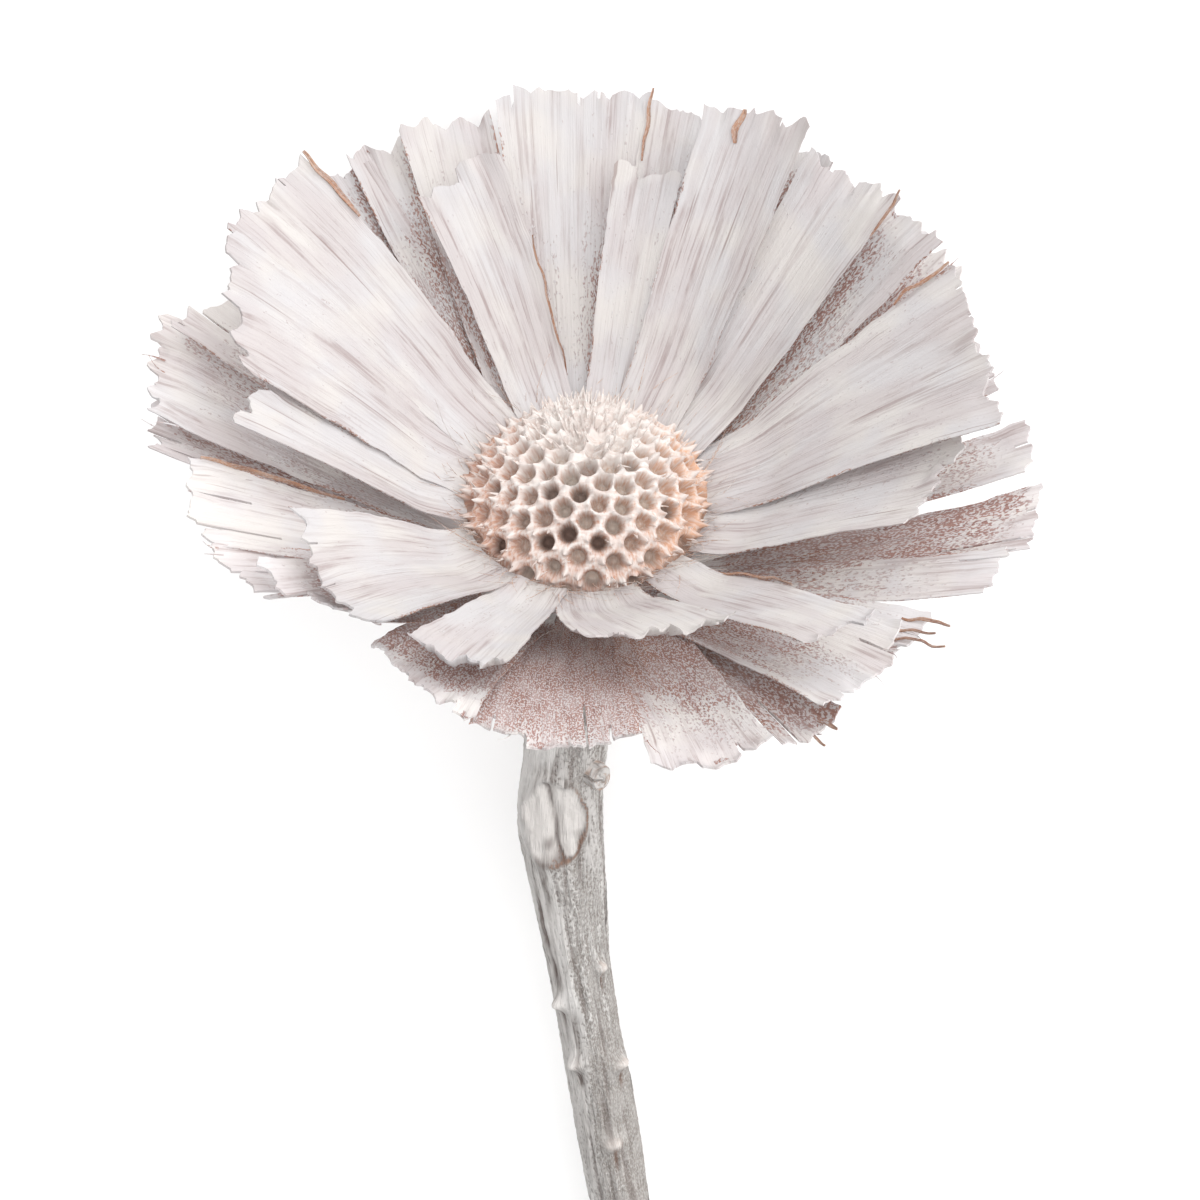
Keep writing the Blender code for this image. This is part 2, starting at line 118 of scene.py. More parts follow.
OUTER_BRACTS = (
    (33, 30, 44, 28, 10, 0),
    (16, 12, 41, 25, 12, 0),
    (0, -5, 43, 23, 8, 0),
    (-8, -20, 43, 18, 9, 1),
    (-20, -30, 41, 21, 8, 1),
    (-36, -39, 37, 23, 8, 0),
    (-48, -47, 40, 26, 16, -5),
    (-58, -55, 39, 21, 8, -1),
    (-73, -71, 41, 24, 13, 4),
    (-94, -98, 41, 30, 19, 3),
    (-115, -120, 38, 33, 16, 8),
    (-142, -138, 34, 33, 14, -9),
    (-154, -150, 37, 27, 9, -4),
    (-168, -162, 39, 27, 13, -1),
    (174, -178, 42, 20, 8, -1),
    (166, 170, 44, 23, 15, -4),
    (156, 160, 43, 27, 11, 4),
    (144, 146, 40, 28, 12, 0),
    (131, 132, 38, 29, 11, 0),
    (118, 119, 42, 31, 11, 0),
    (105, 105, 35, 32, 10, 0),
    (91, 91, 33, 32, 11, 0),
    (77, 77, 35, 32, 10, 0),
    (62, 61, 42, 31, 11, 0),
    (48, 47, 38, 29, 11, 0),
)

# The rings of bases that the bracts grow from, as in the part: their section in radius and height
INNER_COLLAR = ((10.9, -3.1), (13.2, -2.9), (12.8, -4.9), (11.0, -6.0), (9.7, -5.9))
OUTER_COLLAR = ((9.45, -6.7), (11.4, -7.2), (11.2, -9.4), (9.3, -10.3), (8.25, -10.2))

# The basal scales, as in the part, for each ring: count, root radius, root height, lift, length, width
SCALE_RINGS = (
    (13, 8.6, -14.0, 40, 7.0, 4.2),
    (11, 7.5, -18.0, 50, 7.0, 4.2),
    (9, 6.4, -22.0, 56, 6.4, 4.2),
)
SCALE_OFFSET = 0.13
SCALE_SEED = 51
BASAL_SLEEVE = ((8.15, -10.6), (9.4, -10.7), (6.5, -23.4), (5.1, -23.4))

# The outline of a basal scale, finer than in the part: places along it, and how wide it is there
SCALE_OUTLINE = ((0.0, 0.3, 0.6, 0.8, 0.93, 1.0), (0.9, 0.97, 0.98, 0.8, 0.5, 0.22))

# The stem, as in the part
STEM_TOP = (0.0, 0.0, -24.35)
STEM_LENGTH = 150.0
STEM_BEND = 29.0
STEM_BEND_LENGTH = 30.0
STEM_SWAY = (-10.0, 9.0)
STEM_SWAY_LENGTH = 48.0
STEM_RADII = ((0, 5.0), (12, 4.8), (24, 4.7), (34, 4.5), (46, 3.7), (80, 3.5), (150, 3.4))
BARK_BUMPS = ((0.12, 3.0, 0.05), (0.10, 2.0, 0.21))
KNOT = (27, 165, 0.9, 6.0, 55)
PRUNING_SCAR = (33, 105, 0.7, 3.4, 24)
LEAF_SCARS = (
    (47, 45, 0.5, 1.2, 20),
    (51, 140, 0.5, 1.2, 20),
    (59, 125, 0.6, 1.3, 22),
    (60, 40, 0.6, 1.3, 24),
    (70, 80, 0.6, 1.4, 26),
    (92, 200, 0.6, 1.4, 26),
    (108, 20, 0.6, 1.4, 26),
    (127, 120, 0.6, 1.4, 26),
)
SWELLINGS = (KNOT, PRUNING_SCAR, *LEAF_SCARS)

# What the bark shows besides: the oval scar, as place along the stem, angle, half length in millimetres
# and half width in degrees; and slits at the stem's left edge, as place, angle and half length
OVAL_SCAR = (26.4, 100, 6.0, 42)
EDGE_SLITS = ((39.0, 147, 1.6), (42.5, 144, 1.3), (46.5, 139, 1.9))

# The radius that the bark's relief and fibres are laid out on, the angle of the stem's left side, and
# what every look of the bark is in the middle of a cut end
BARK_RADIUS = 4.0
LEFT_SIDE = 172.0
CUT_END = 0.2

# The stub of a side twig: its place, its angle, and how far out each of its rings lies and how wide it is
STUB_ALONG = 20.0
STUB_ANGLE = 42.0
STUB_RINGS = ((1.0, 1.9), (3.5, 1.75), (5.2, 1.65), (5.9, 1.6), (6.2, 1.4), (6.3, 0.6))
STUB_WANDER = 0.15

# How fine the bracts are made, in millimetres
COLUMN_WIDTH = 0.34
LEAST_COLUMNS = 14
BLADE_ROWS = 30
END_ROWS = 12
BRACT_THICKNESS = 0.42
EDGE_THICKNESS = 0.16

# How far from the end the bracts still follow its scallops, in millimetres
END_ZONE = 4.0

# Layers of random relief: how high they are, and their pitch across and along, in millimetres
FIBRES = (0.05, 1.1, 22.0)
FINE_FIBRES = (0.04, 0.45, 9.0)
SWELLS = (0.22, 6.0, 14.0)
FRAY = (0.35, 1.6, 6.0)
SIDE_WANDER = (0.25, 3.2, 0.9)
FINE_WANDER = (0.12, 0.9, 0.9)
WANDER_START = 0.2

# How far the fibres of one bract lie from those of the next, so that no two look alike
GRAIN_STEP = 7.31

# The sawn ends' scallops at the flower's top, left and other sides: least and most pitch, then depth
TOP_SCALLOPS = (4.0, 4.8, 0.9, 1.3)
LEFT_SCALLOPS = (3.4, 4.0, 1.0, 1.4)
OTHER_SCALLOPS = (2.2, 3.2, 0.5, 1.1)
TOP_OR_LEFT = 0.6
CREST_REACH = 0.8
PITCH_DRIFT = 0.35
DEPTH_DRIFT = 0.5
NICK_HEIGHT = 0.28
NICK_PITCH = 0.5

# The strips that the ends are split into, and the slits between them
STRIP_WIDTH = (1.6, 5.5)
STRIP_REACH = (-0.8, 0.4)
STRIP_LIFT = 0.45
TERRACE = 0.8
SHORT_SLIT = 1.8
SLIT_SHARE = 0.3
LONG_SLIT = 11.0

# The lip that the front bracts' ends turn up to: how far it reaches back, its least share and its pitch
LIP_REACH = 2.4
LEAST_LIP = 0.7
LIP_PITCH = 1.2

# The inner bracts' roots rise to the dome's foot, up to this share of their length
ROOT_RISE_END = 0.3

# The bare slivers: whorl, number of the bract in it, place across it, start and end along it, and width
SLIVERS = (
    (0, 6, -1.0, 0.78, 1.01, 0.6),
    (0, 3, 0.35, 0.91, 1.01, 0.8),
    (0, 2, 1.0, 0.50, 0.80, 0.3),
    (0, 2, -1.0, 0.85, 1.0, 0.5),
    (0, 1, 1.0, 0.80, 1.0, 0.4),
    (0, 0, 1.0, 0.15, 0.75, 0.4),
    (0, 5, -1.0, 0.20, 0.70, 0.3),
    (0, 12, 1.0, 0.10, 0.60, 0.4),
    (1, 3, -1.0, 0.80, 1.0, 0.5),
    (2, 5, 0.60, 0.93, 1.10, 0.4),
    (2, 5, -0.20, 0.92, 1.14, 0.3),
    (2, 5, 0.10, 0.90, 1.08, 0.3),
    (2, 7, 0.50, 0.95, 1.05, 0.4),
    (2, 7, 0.10, 0.95, 1.06, 0.3),
    (2, 13, -1.0, 0.50, 0.95, 0.5),
)
SLIVER_LIFT = 0.3
SLIVER_WANDER = 0.3

# The loose fibres at the outer bracts' ends and sides, in millimetres
SPLINTER_SEED = 61
SPLINTER_LENGTH = (1.0, 3.0)
SPLINTER_RADIUS = (0.10, 0.22)
SPLINTER_TIP = 0.03

# The spray of white paint: each ring of directions that it came from, as its tilt from the flower's axis
# in degrees, how many there are, and by what share of a step they are turned
SPRAY_RINGS = ((25, 6, 0.0), (50, 10, 0.5))
SPRAY_LIFT = 0.5
SPRAY_REACH = 60.0
SCREEN_LIFT = 1.8
SCREEN_LINES = 9

# A bract is covered in full where this share of the spray reaches it, and takes painted shade below the
# other share, where other bracts stand over it
FULL_SPRAY = 0.95
PAINTED_SHADE_SPRAY = 0.5

# The flower's sides, as azimuth and how narrow, where bracts have more or less paint than the rest
PAINT_SIDES = ((180.0, 6), (-90.0, 24))

# The edges are worn from this share of the half width out, in places with this pitch along them
WORN_START = 0.93
WORN_PITCH = 5.0
UNEVEN_PITCH = (2.5, 12.0)
BRACT_DIFFERENCE = 0.6

# How much each place has of the paint and of the second bare colour: so much all over, and so much more
# or less at the place that each word names
BACK_PAINT = {"all": 0.4, "uneven": 0.35, "end": 0.6}
BRACT_TONE = {"all": 0.2, "root": 0.6, "worn": 0.8, "uneven": 0.5}
END_PAINT = 0.35
WORN_LOSS = 1.2
DOME_PAINT = {"all": 0.78, "pit": -0.4, "side": -0.45, "front": -0.25, "rim": -0.2, "fused": 0.5,
              "point": 0.5, "wall": 0.25}
STEM_PAINT = {"all": 0.42, "scar": 0.8, "left": 0.8, "ridge": 1.3, "brown": -0.6, "far": -0.6}
# The slit entry also tans the painted shadow below the leaf scars.
STEM_TONE = {"all": -0.15, "leaf_scar": 0.9, "scar": 0.6, "slit": 1.0, "brown": 1.0}

# How fine the dome is made, its pits, and the points where their walls meet, in millimetres
DOME_GRID = 240
DOME_SEED = 7
PIT_RADIUS = 1.0
PIT_SPREAD = (0.88, 1.1)
PIT_DEPTH = 1.35
PIT_CUP = 0.2
RIM_PIT_SHARE = 0.6
PIT_WALL = 0.5
WALL_CREST = 0.25
WALL_SINK = 0.15
DOME_ROUGHNESS = (0.07, 0.5, 0.5)
POINT_REACH = 0.62
POINT_HEIGHT = 0.7
POINT_SPREAD = (0.35, 1.2)
RIM_POINT_HEIGHT = 1.2
RIM_SHARPNESS = 4
POINT_LEAN = 0.5

# The share of the pits that are dark, how dark the others are, and how grey the film on their floors is
DARK_PITS = 0.25
PIT_DARKNESS = (0.1, 0.45)
PIT_FILM = (0.4, 0.85)

# The part of the dome behind its middle where white fibres have closed the pits: its middle and radius,
# and how far the pits are filled there
FUSED_PLACE = (0.5, 5.5)
FUSED_RADIUS = 5.5
FUSED_FILL = 0.65

# The papery scales on the dome's walls and the bristles round its foot, in millimetres
PAPER_SEED = 21
PAPER_TRIES = 900
PAPER_LENGTH = (0.9, 2.0)
PAPER_WIDTH = (0.3, 0.7)
PAPER_THICKNESS = 0.09
BRISTLE_SEED = 31
BRISTLE_COUNT = 520
BRISTLE_RADII = (0.07, 0.02)
BRISTLE_FOOT = (12.8, 13.9)
BRISTLE_HEIGHT = (-1.2, 0.3)
BRISTLE_LENGTH = (1.2, 3.2)
LONG_BRISTLE = (3.0, 7.0)
LONG_SHARE = 0.15

# How fine the stem is made, and over how many rings to each side its direction is smoothed
STEM_RINGS = 700
STEM_SIDES = 128
STEM_PACE = 2.5
SMOOTH_RINGS = 12

# How bright a white surface in the open is lit, and the strengths of the light from all round, of the key
# and of the fill, which comes from the flower's front and reaches into the shade too
FULL_LIGHT = 1.52
FILL_STRENGTH = 1.35
ROUND_STRENGTH = 0.76
ROUND_SLOPE = 0.9
KEY_STRENGTH = 0.70
SUN_WIDTH = 50.0
KEY_WAY = Vector((0.50, 0.05, 0.86))
FILL_WAY = Vector((0.30, -0.45, 0.84))

# How far the floor reaches to each side, in metres
FLOOR_REACH = 2.5

# The table of random values that patches are read from, and how far off its edge the flower lies
LATTICE = 256
LATTICE_MIDDLE = 4000.0

# A direction that no strand runs in, to work out the sides of each from
STRAND_SIDE = (0.31, 0.17, 0.93)

# Edges that turn more than this are sharp
SHARP_ANGLE = math.radians(50)


def smoothstep(value):
    """A smooth step from 0 to 1 as the value goes from 0 to 1."""
    value = np.clip(value, 0.0, 1.0)
    return value * value * (3.0 - 2.0 * value)


def patches(x, y, pitch_x, pitch_y, seed):
    """Smooth random values between -1 and 1 over a plane, with a new one at every pitch."""
    table = np.random.default_rng(seed).uniform(-1.0, 1.0, (LATTICE, LATTICE))
    u = (x + LATTICE_MIDDLE) / pitch_x
    v = (y + LATTICE_MIDDLE) / pitch_y
    column = np.floor(u).astype(int)
    row = np.floor(v).astype(int)
    a = smoothstep(u - column)
    b = smoothstep(v - row)
    left, right = column % LATTICE, (column + 1) % LATTICE
    low, high = row % LATTICE, (row + 1) % LATTICE
    near = table[left, low] * (1.0 - a) + table[right, low] * a
    far = table[left, high] * (1.0 - a) + table[right, high] * a
    return near * (1.0 - b) + far * b


def layer(x, y, looks, seed):
    """Patches of a given height and pitch both ways."""
    height, pitch_x, pitch_y = looks
    return height * patches(x, y, pitch_x, pitch_y, seed)


def drift(x, pitch, seed):
    """Smooth random values between -1 and 1 along a line."""
    return patches(x, 0.0 * x, pitch, 1.0, seed)


def weighed(weights, **places):
    """What is there all over, and what each place adds as far as it reaches."""
    return weights["all"] + sum(weights[name] * reach for name, reach in places.items())


def turn_between(start, end, share):
    """The azimuth a share of the way from start to end, the short way round, in radians."""
    difference = (end - start + 180.0) % 360.0 - 180.0
    return np.radians(start + difference * share)


def ring_ways(turn):
    """The directions out from the flower's axis and sideways round it."""
    cos, sin = math.cos(turn), math.sin(turn)
    return np.array([cos, sin, 0.0]), np.array([-sin, cos, 0.0])


def sheet_grid(columns, rows, start=0.0, end=1.0):
    """The places across, from -1 to 1, and along a sheet's columns and rows."""
    return np.meshgrid(np.linspace(-1.0, 1.0, columns), np.linspace(start, end, rows), indexing="ij")


def stacked(x, y, z):
    """Points from their three coordinates."""
    return np.stack(np.broadcast_arrays(x, y, z), axis=-1)


def lying():
    """The matrix that lays the flower down, from its own millimetres to metres."""
    turn = Euler((math.radians(LIE_PITCH), math.radians(LIE_ROLL), math.pi))
    return Matrix.Translation(Vector(HEAD_PLACE) * MM) @ turn.to_matrix().to_4x4() @ Matrix.Scale(MM, 4)


TO_WORLD = lying()
WORLD_TURN = TO_WORLD.to_3x3().normalized()


class Skin:
    """Points, faces and named values, gathered from many sheets and tubes into one piece."""

    def __init__(self):
        self.points = []
        self.faces = []
        self.grain = []
        self.values = {"paint": [], "tone": [], "depth": [], "film": []}
        self.count = 0

    def add(self, points, faces, grain, paint=1.0, tone=0.0, depth=0.0, film=0.0):
        """Add points and faces, with values that are numbers or one for each point."""
        points = points.reshape(-1, 3)
        size = len(points)
        self.points.append(points)
        self.faces.extend((np.asarray(part) + self.count).tolist() for part in faces if len(part))
        self.count += size
        self.grain.append(np.reshape(grain, (-1, 3)))
        for name, value in zip(self.values, (paint, tone, depth, film)):
            self.values[name].append(np.broadcast_to(np.ravel(value), size))

    def add_sheet(self, top, bottom, grain, keep=None, **values):
        """Add a closed sheet from its two sides, with values that are numbers or one grid for each side."""
        columns, rows = top.shape[:2]
        if keep is None:
            keep = np.ones((columns - 1, rows - 1), bool)
        faces = sheet_faces(columns, rows, keep)
        self.add(np.stack([top, bottom]), faces, np.stack([grain, grain]), **values)

    def piece(self, name, material, slot, nodes=()):
        """Make the piece, let it ride on the flower, and hide the parts of the model that it stands for."""
        matrix = np.array(TO_WORLD)
        points = np.concatenate(self.points) @ matrix[:3, :3].T + matrix[:3, 3]
        faces = [face for part in self.faces for face in part]
        mesh = bpy.data.meshes.new(name)
        mesh.from_pydata(points.tolist(), [], faces)
        grain = mesh.attributes.new("grain", "FLOAT_VECTOR", "POINT")
        grain.data.foreach_set("vector", np.concatenate(self.grain).ravel())
        for value, parts in self.values.items():
            mesh.attributes.new(value, "FLOAT", "POINT").data.foreach_set("value", np.concatenate(parts))
        mesh.shade_smooth()
        mesh.set_sharp_from_angle(angle=SHARP_ANGLE)
        mesh.materials.append(material)
        piece = bpy.data.objects.new(name, mesh)
        bpy.context.scene.collection.objects.link(piece)
        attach(piece, "root")
        if nodes:
            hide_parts(*nodes)


def grid_faces(columns, rows, wrap=0):
    """The faces of a grid of points, which is closed both ways if it wraps."""
    index = np.pad(np.arange(columns * rows).reshape(columns, rows), (0, wrap), "wrap")
    return np.stack([index[:-1, :-1], index[1:, :-1], index[1:, 1:], index[:-1, 1:]], axis=-1)


def sheet_faces(columns, rows, keep):
    """The faces of a closed sheet: both skins where keep is true, and a wall along every open edge."""
    quads = grid_faces(columns, rows)[keep]
    edges = np.concatenate([quads[:, [side, (side + 1) % 4]] for side in range(4)])
    size = columns * rows
    forward = edges[:, 0] * size + edges[:, 1]
    backward = edges[:, 1] * size + edges[:, 0]
    rim = edges[~np.isin(backward, forward)]
    walls = np.stack([rim[:, 1], rim[:, 0], rim[:, 0] + size, rim[:, 1] + size], axis=1)
    return quads, quads[:, ::-1] + size, walls


def tube_faces(rings, sides):
    """The faces of a closed tube of rings, whose first and last points are the middles of its ends."""
    index = 1 + np.arange(rings * sides).reshape(rings, sides)
    around = np.roll(index, -1, axis=1)
    quads = np.stack([index[:-1], around[:-1], around[1:], index[1:]], axis=-1).reshape(-1, 4)
    first = np.stack([np.zeros(sides, int), around[0], index[0]], axis=1)
    last = np.stack([np.full(sides, rings * sides + 1), index[-1], around[-1]], axis=1)
    return quads, first, last


class Bract:
    """One bract: a thin wedge that rises from its root and widens to a sawn end."""

    def __init__(self, row, root, seed):
        self.azimuth, self.root_azimuth, self.length, lift, self.end_width, self.slant = row
        self.seed = seed
        self.draw = random.Random(seed)
        self.root_radius, self.root_height = root
        self.lift_start = math.radians(lift + CURL / 2)
        self.lift_end = math.radians(lift - CURL / 2)
        self.root_width = np.clip(ROOT_WIDTH_SHARE * self.end_width + ROOT_WIDTH_ADDED, *ROOT_WIDTH_LIMITS)
        self.trough = self.draw.uniform(*TROUGH)
        self.wave = self.draw.uniform(*WAVE)
        self.wave_phase = self.draw.uniform(0.0, 2.0 * math.pi)
        self.across, self.along = self.grid()
        self.place = self.across * self.end_width / 2
        self.down = self.along * self.length
        self.near_end = smoothstep((self.down - self.length + END_ZONE) / END_ZONE)

    def grid(self):
        """The across and along values of every column and row, with finer rows near the end."""
        columns = max(LEAST_COLUMNS, round(self.end_width / COLUMN_WIDTH))
        end_start = 1.0 - END_ZONE / self.length
        blade = np.linspace(-ROOT_SINK / self.length, end_start, BLADE_ROWS, endpoint=False)
        end = np.linspace(end_start, 1.0, END_ROWS)
        return np.meshgrid(np.linspace(-1.0, 1.0, columns + 1), np.concatenate([blade, end]), indexing="ij")

    def width(self, along):
        """How wide the bract is at places along it."""
        return self.root_width + (self.end_width - self.root_width) * np.maximum(along, 0.0) ** WIDENING

    def frame(self, across, along, extra):
        """Points of the middle surface, and the direction up from it."""
        reach = (self.length + self.slant * across / 2) * along + extra
        turn = self.lift_end - self.lift_start
        lift = self.lift_start + turn * reach / self.length
        radius = self.root_radius + self.length / turn * (np.sin(lift) - math.sin(self.lift_start))
        height = self.root_height - self.length / turn * (np.cos(lift) - math.cos(self.lift_start))
        azimuth = turn_between(self.root_azimuth, self.azimuth, along)
        cos, sin = np.cos(azimuth), np.sin(azimuth)
        width = self.width(along)
        sideways = across * width / 2
        upward = stacked(-cos * np.sin(lift), -sin * np.sin(lift), np.cos(lift))
        middle = stacked(cos * radius - sin * sideways, sin * radius + cos * sideways, height)
        rise = self.trough * width * across ** 2 * smoothstep(along / TROUGH_START)
        rise = rise + self.wave * along * np.sin(self.wave_phase + WAVE_ALONG * along + WAVE_ACROSS * across)
        return middle + upward * rise[..., None], upward

    def scallops(self):
        """How far the sawn end reaches past the bract's length at each place."""
        top = math.sin(math.radians(self.azimuth)) > TOP_OR_LEFT
        left = math.cos(math.radians(self.azimuth)) < -TOP_OR_LEFT
        looks = TOP_SCALLOPS if top else LEFT_SCALLOPS if left else OTHER_SCALLOPS
        pitch, depth = self.draw.uniform(*looks[:2]), self.draw.uniform(*looks[2:])
        share = self.place / pitch + PITCH_DRIFT * drift(self.place, 1.3 * pitch, self.seed)
        wave = np.abs(np.sin(math.pi * share))
        deep = depth * (1.0 + DEPTH_DRIFT * drift(self.place, 2.0 * pitch, self.seed + 1))
        nicks = NICK_HEIGHT * drift(self.place, NICK_PITCH, self.seed + 2)
        return CREST_REACH - deep * (1.0 - wave if top else wave) + nicks

    def splits(self, long_slits):
        """The end's strips, split along the fibres: each column's reach and lift, and each slit's length."""
        line = self.across[:, 0]
        reach, lift, slit = np.zeros((3, len(line)))
        column = 0
        while column < len(line):
            wide = max(3, round(self.draw.uniform(*STRIP_WIDTH) / COLUMN_WIDTH))
            strip = slice(column, column + wide)
            terrace = TERRACE * self.slant / 2 * (line[strip].mean() - line[strip])
            reach[strip] = self.draw.uniform(*STRIP_REACH) + terrace
            lift[strip] = self.draw.uniform(-STRIP_LIFT, STRIP_LIFT)
            column += wide
            if column < len(line) - 3 and self.draw.random() < SLIT_SHARE + long_slits:
                longest = LONG_SLIT if self.draw.random() < long_slits else SHORT_SLIT
                slit[column - 1] = self.draw.uniform(0.2, 1.0) * longest
        return reach, lift, slit

    def wander(self):
        """How far the bract's sides stray from straight ones, in half widths."""
        right = self.across > 0
        stray = layer(self.down, right, SIDE_WANDER, self.seed + 3)
        stray = stray + layer(self.down, right, FINE_WANDER, self.seed + 8)
        side = np.abs(self.across) ** 3 * np.sign(self.across)
        return side * stray * smoothstep(self.along / WANDER_START) / (self.width(self.along) / 2)

    def relief(self, lift, whorl):
        """How far the face stands off the smooth wedge: fibres, swells, frayed end, lip and root."""
        rise = layer(self.place, self.down, FIBRES, self.seed + 4)
        rise = rise + layer(self.place, self.down, FINE_FIBRES, self.seed + 5)
        rise = rise + layer(self.place, self.down, SWELLS, self.seed + 6) * self.along
        rise = rise + (layer(self.place, self.down, FRAY, self.seed + 7) + lift[:, None]) * self.near_end
        front = max(0.0, -math.sin(math.radians(self.azimuth))) ** 4
        lip = whorl["lip"] * front * smoothstep((self.down - self.length + LIP_REACH) / LIP_REACH) ** 2
        rise = rise + lip * (LEAST_LIP + drift(self.place, LIP_PITCH, self.seed + 10))
        return rise + whorl["root_rise"] * (1.0 - smoothstep(self.along / ROOT_RISE_END))

    def looks(self, seen, whorl):
        """The paint, tone and painted shade of the face, where this share of the spray was seen, and of the
        back.
        """
        edge = smoothstep((np.abs(self.across) - WORN_START) / (1.0 - WORN_START))
        worn = edge * smoothstep(2.0 * patches(self.down, self.across > 0, WORN_PITCH, 0.9, self.seed + 9))
        uneven = patches(self.place, self.down, *UNEVEN_PITCH, self.seed + 11)
        own = random.Random(self.seed + 12).uniform(-BRACT_DIFFERENCE, BRACT_DIFFERENCE)
        cover = whorl["least_paint"] + whorl["more_paint"] * smoothstep(seen / FULL_SPRAY) ** 2
        cover = cover + END_PAINT * self.near_end - WORN_LOSS * worn + whorl["uneven"] * (uneven + own)
        for more, (way, narrow) in zip(whorl["side_paint"], PAINT_SIDES):
            cover = cover + more * max(0.0, math.cos(math.radians(self.azimuth - way))) ** narrow
        under = weighed(BACK_PAINT, uneven=uneven, end=self.near_end)
        root = np.clip(1.0 - self.along, 0.0, 1.0) ** 2
        tone = weighed(BRACT_TONE, root=root, worn=worn, uneven=np.maximum(uneven, 0.0))
        # Painted shade: the face darkens where other bracts hold the spray off, in the gaps and under them.
        depth = whorl["depth"] * (1.0 - smoothstep(seen / PAINTED_SHADE_SPRAY)) * (1.0 - self.near_end)
        return {"paint": (cover, under), "tone": (tone, tone), "depth": (depth, 0.0 * depth)}

    def build(self, skin, screen, whorl):
        """Add the bract to a skin, with its fibres, its wandering sides and its sawn end."""
        reach, lift, slit = self.splits(whorl["long_slits"])
        extra = (self.scallops() + reach[:, None]) * self.near_end
        middle, upward = self.frame(self.across + self.wander(), self.along, extra)
        middle = middle + upward * self.relief(lift, whorl)[..., None]
        flat = (1.0 - np.abs(self.across) ** 8) * (1.0 - 0.5 * self.near_end)
        half = upward * (EDGE_THICKNESS + (BRACT_THICKNESS - EDGE_THICKNESS) * flat)[..., None] / 2
        seen = sprayed(screen, middle.reshape(-1, 3), upward.reshape(-1, 3)).reshape(self.place.shape)
        grain = stacked(self.place, self.down, self.seed * GRAIN_STEP)
        keep = self.down[:-1, 1:] < self.length - slit[:-1, None]
        skin.add_sheet(middle + half, middle - half, grain, keep, **self.looks(seen, whorl))


def add_node(tree, kind, inputs, **settings):
    """A node with its settings, and its inputs linked or set."""
    node = tree.nodes.new(kind)
    for name, value in settings.items():
        setattr(node, name, value)
    for key, value in inputs.items():
        if isinstance(value, bpy.types.NodeSocket):
            tree.links.new(value, node.inputs[key])
        else:
            node.inputs[key].default_value = value
    return node


def attribute(tree, name, output="Fac"):
    """A value that the mesh holds at each point."""
    return add_node(tree, "ShaderNodeAttribute", {}, attribute_name=name).outputs[output]


def scaled(tree, vector, scale):
    """A place stretched by a scale along each axis."""
    return add_node(tree, "ShaderNodeMapping", {"Vector": vector, "Scale": scale}).outputs["Vector"]


def noise(tree, vector, detail=2.0, roughness=0.5):
    """A noise with one wave for each unit."""
    inputs = {"Vector": vector, "Scale": 1.0, "Detail": detail, "Roughness": roughness}
    return add_node(tree, "ShaderNodeTexNoise", inputs).outputs["Fac"]


def math_node(tree, operation, first, second, third=0.0):
    """One sum on values or numbers."""
    return add_node(tree, "ShaderNodeMath", {0: first, 1: second, 2: third}, operation=operation).outputs[0]


def swing(tree, value, reach):
    """A noise value turned into one that swings by reach round nought."""
    return math_node(tree, "MULTIPLY_ADD", value, 2.0 * reach, -reach)


def step(tree, value, start, end, top=1.0):
    """A smooth step from 0 to its top as the value goes from start to end."""
    inputs = {"Value": value, "From Min": start, "From Max": end, "To Max": top}
    return add_node(tree, "ShaderNodeMapRange", inputs, interpolation_type="SMOOTHSTEP").outputs["Result"]


def mix(tree, share, first, second):
    """One colour mixed into another."""
    inputs = {0: share, 6: first, 7: second}
    return add_node(tree, "ShaderNodeMix", inputs, data_type="RGBA").outputs[2]


def colour(red, green, blue):
    """The light that a picture shows with these values, 0 to 255."""
    return tuple(((value / 255 + 0.055) / 1.055) ** 2.4 for value in (red, green, blue))


def under_light(pictured, light):
    """The colour of a surface that looks like the pictured one under this much light."""
    return (*[min(value / light, 0.92) for value in pictured], 1.0)


WARM_WHITE = colour(240, 235, 231)
COOL_WHITE = colour(233, 230, 231)
MAUVE_WHITE = colour(222, 213, 213)
STREAK = colour(186, 170, 168)
MAUVE = colour(176, 142, 136)
DARK_MAUVE = colour(136, 102, 94)
DARK_BROWN = colour(84, 62, 54)
ASH = colour(180, 173, 163)
TAN = colour(214, 172, 146)
ORANGE = colour(222, 174, 142)
RUST = colour(186, 128, 96)
ROSE = colour(190, 146, 128)
CREAM = colour(230, 222, 217)
CREAM_ROSE = colour(216, 201, 194)
BARK_WHITE = colour(240, 237, 234)
BARK_GREY = colour(216, 212, 209)
BARK_STREAK = colour(128, 121, 116)
BARK_BROWN = colour(168, 162, 157)
BARK_DARK = colour(122, 114, 108)


# The noises that follow the fibres: how many times their scale across and along, detail and roughness
FIBRE_NOISES = {
    "lines": (1.0, 1.0, 3.0, 0.62),
    "threads": (3.6, 3.0, 2.0, 0.55),
    "wash": (0.22, 2.5, 5.0, 0.62),
    "cracks": (1.2, 1.2, 1.0, 0.5),
    "patchy": (0.45, 2.0, 2.0, 0.5),
    "cloud": (0.10, 1.2, 2.0, 0.5),
}

# The scale of the paint's droplets across and along the fibres, and of broad patches, per millimetre
DROPS = (3.4, 1.8)
MIST = (5.0, 2.4)
BROAD = 0.13

# How far paint and bare colours swing in patches, and how far each thing stands out of the surface
PATCHY_SWING = 0.35
BUMPS = {"lines": 0.5, "threads": 0.35, "drops": 0.15}
PAINT_BUMP = 0.3


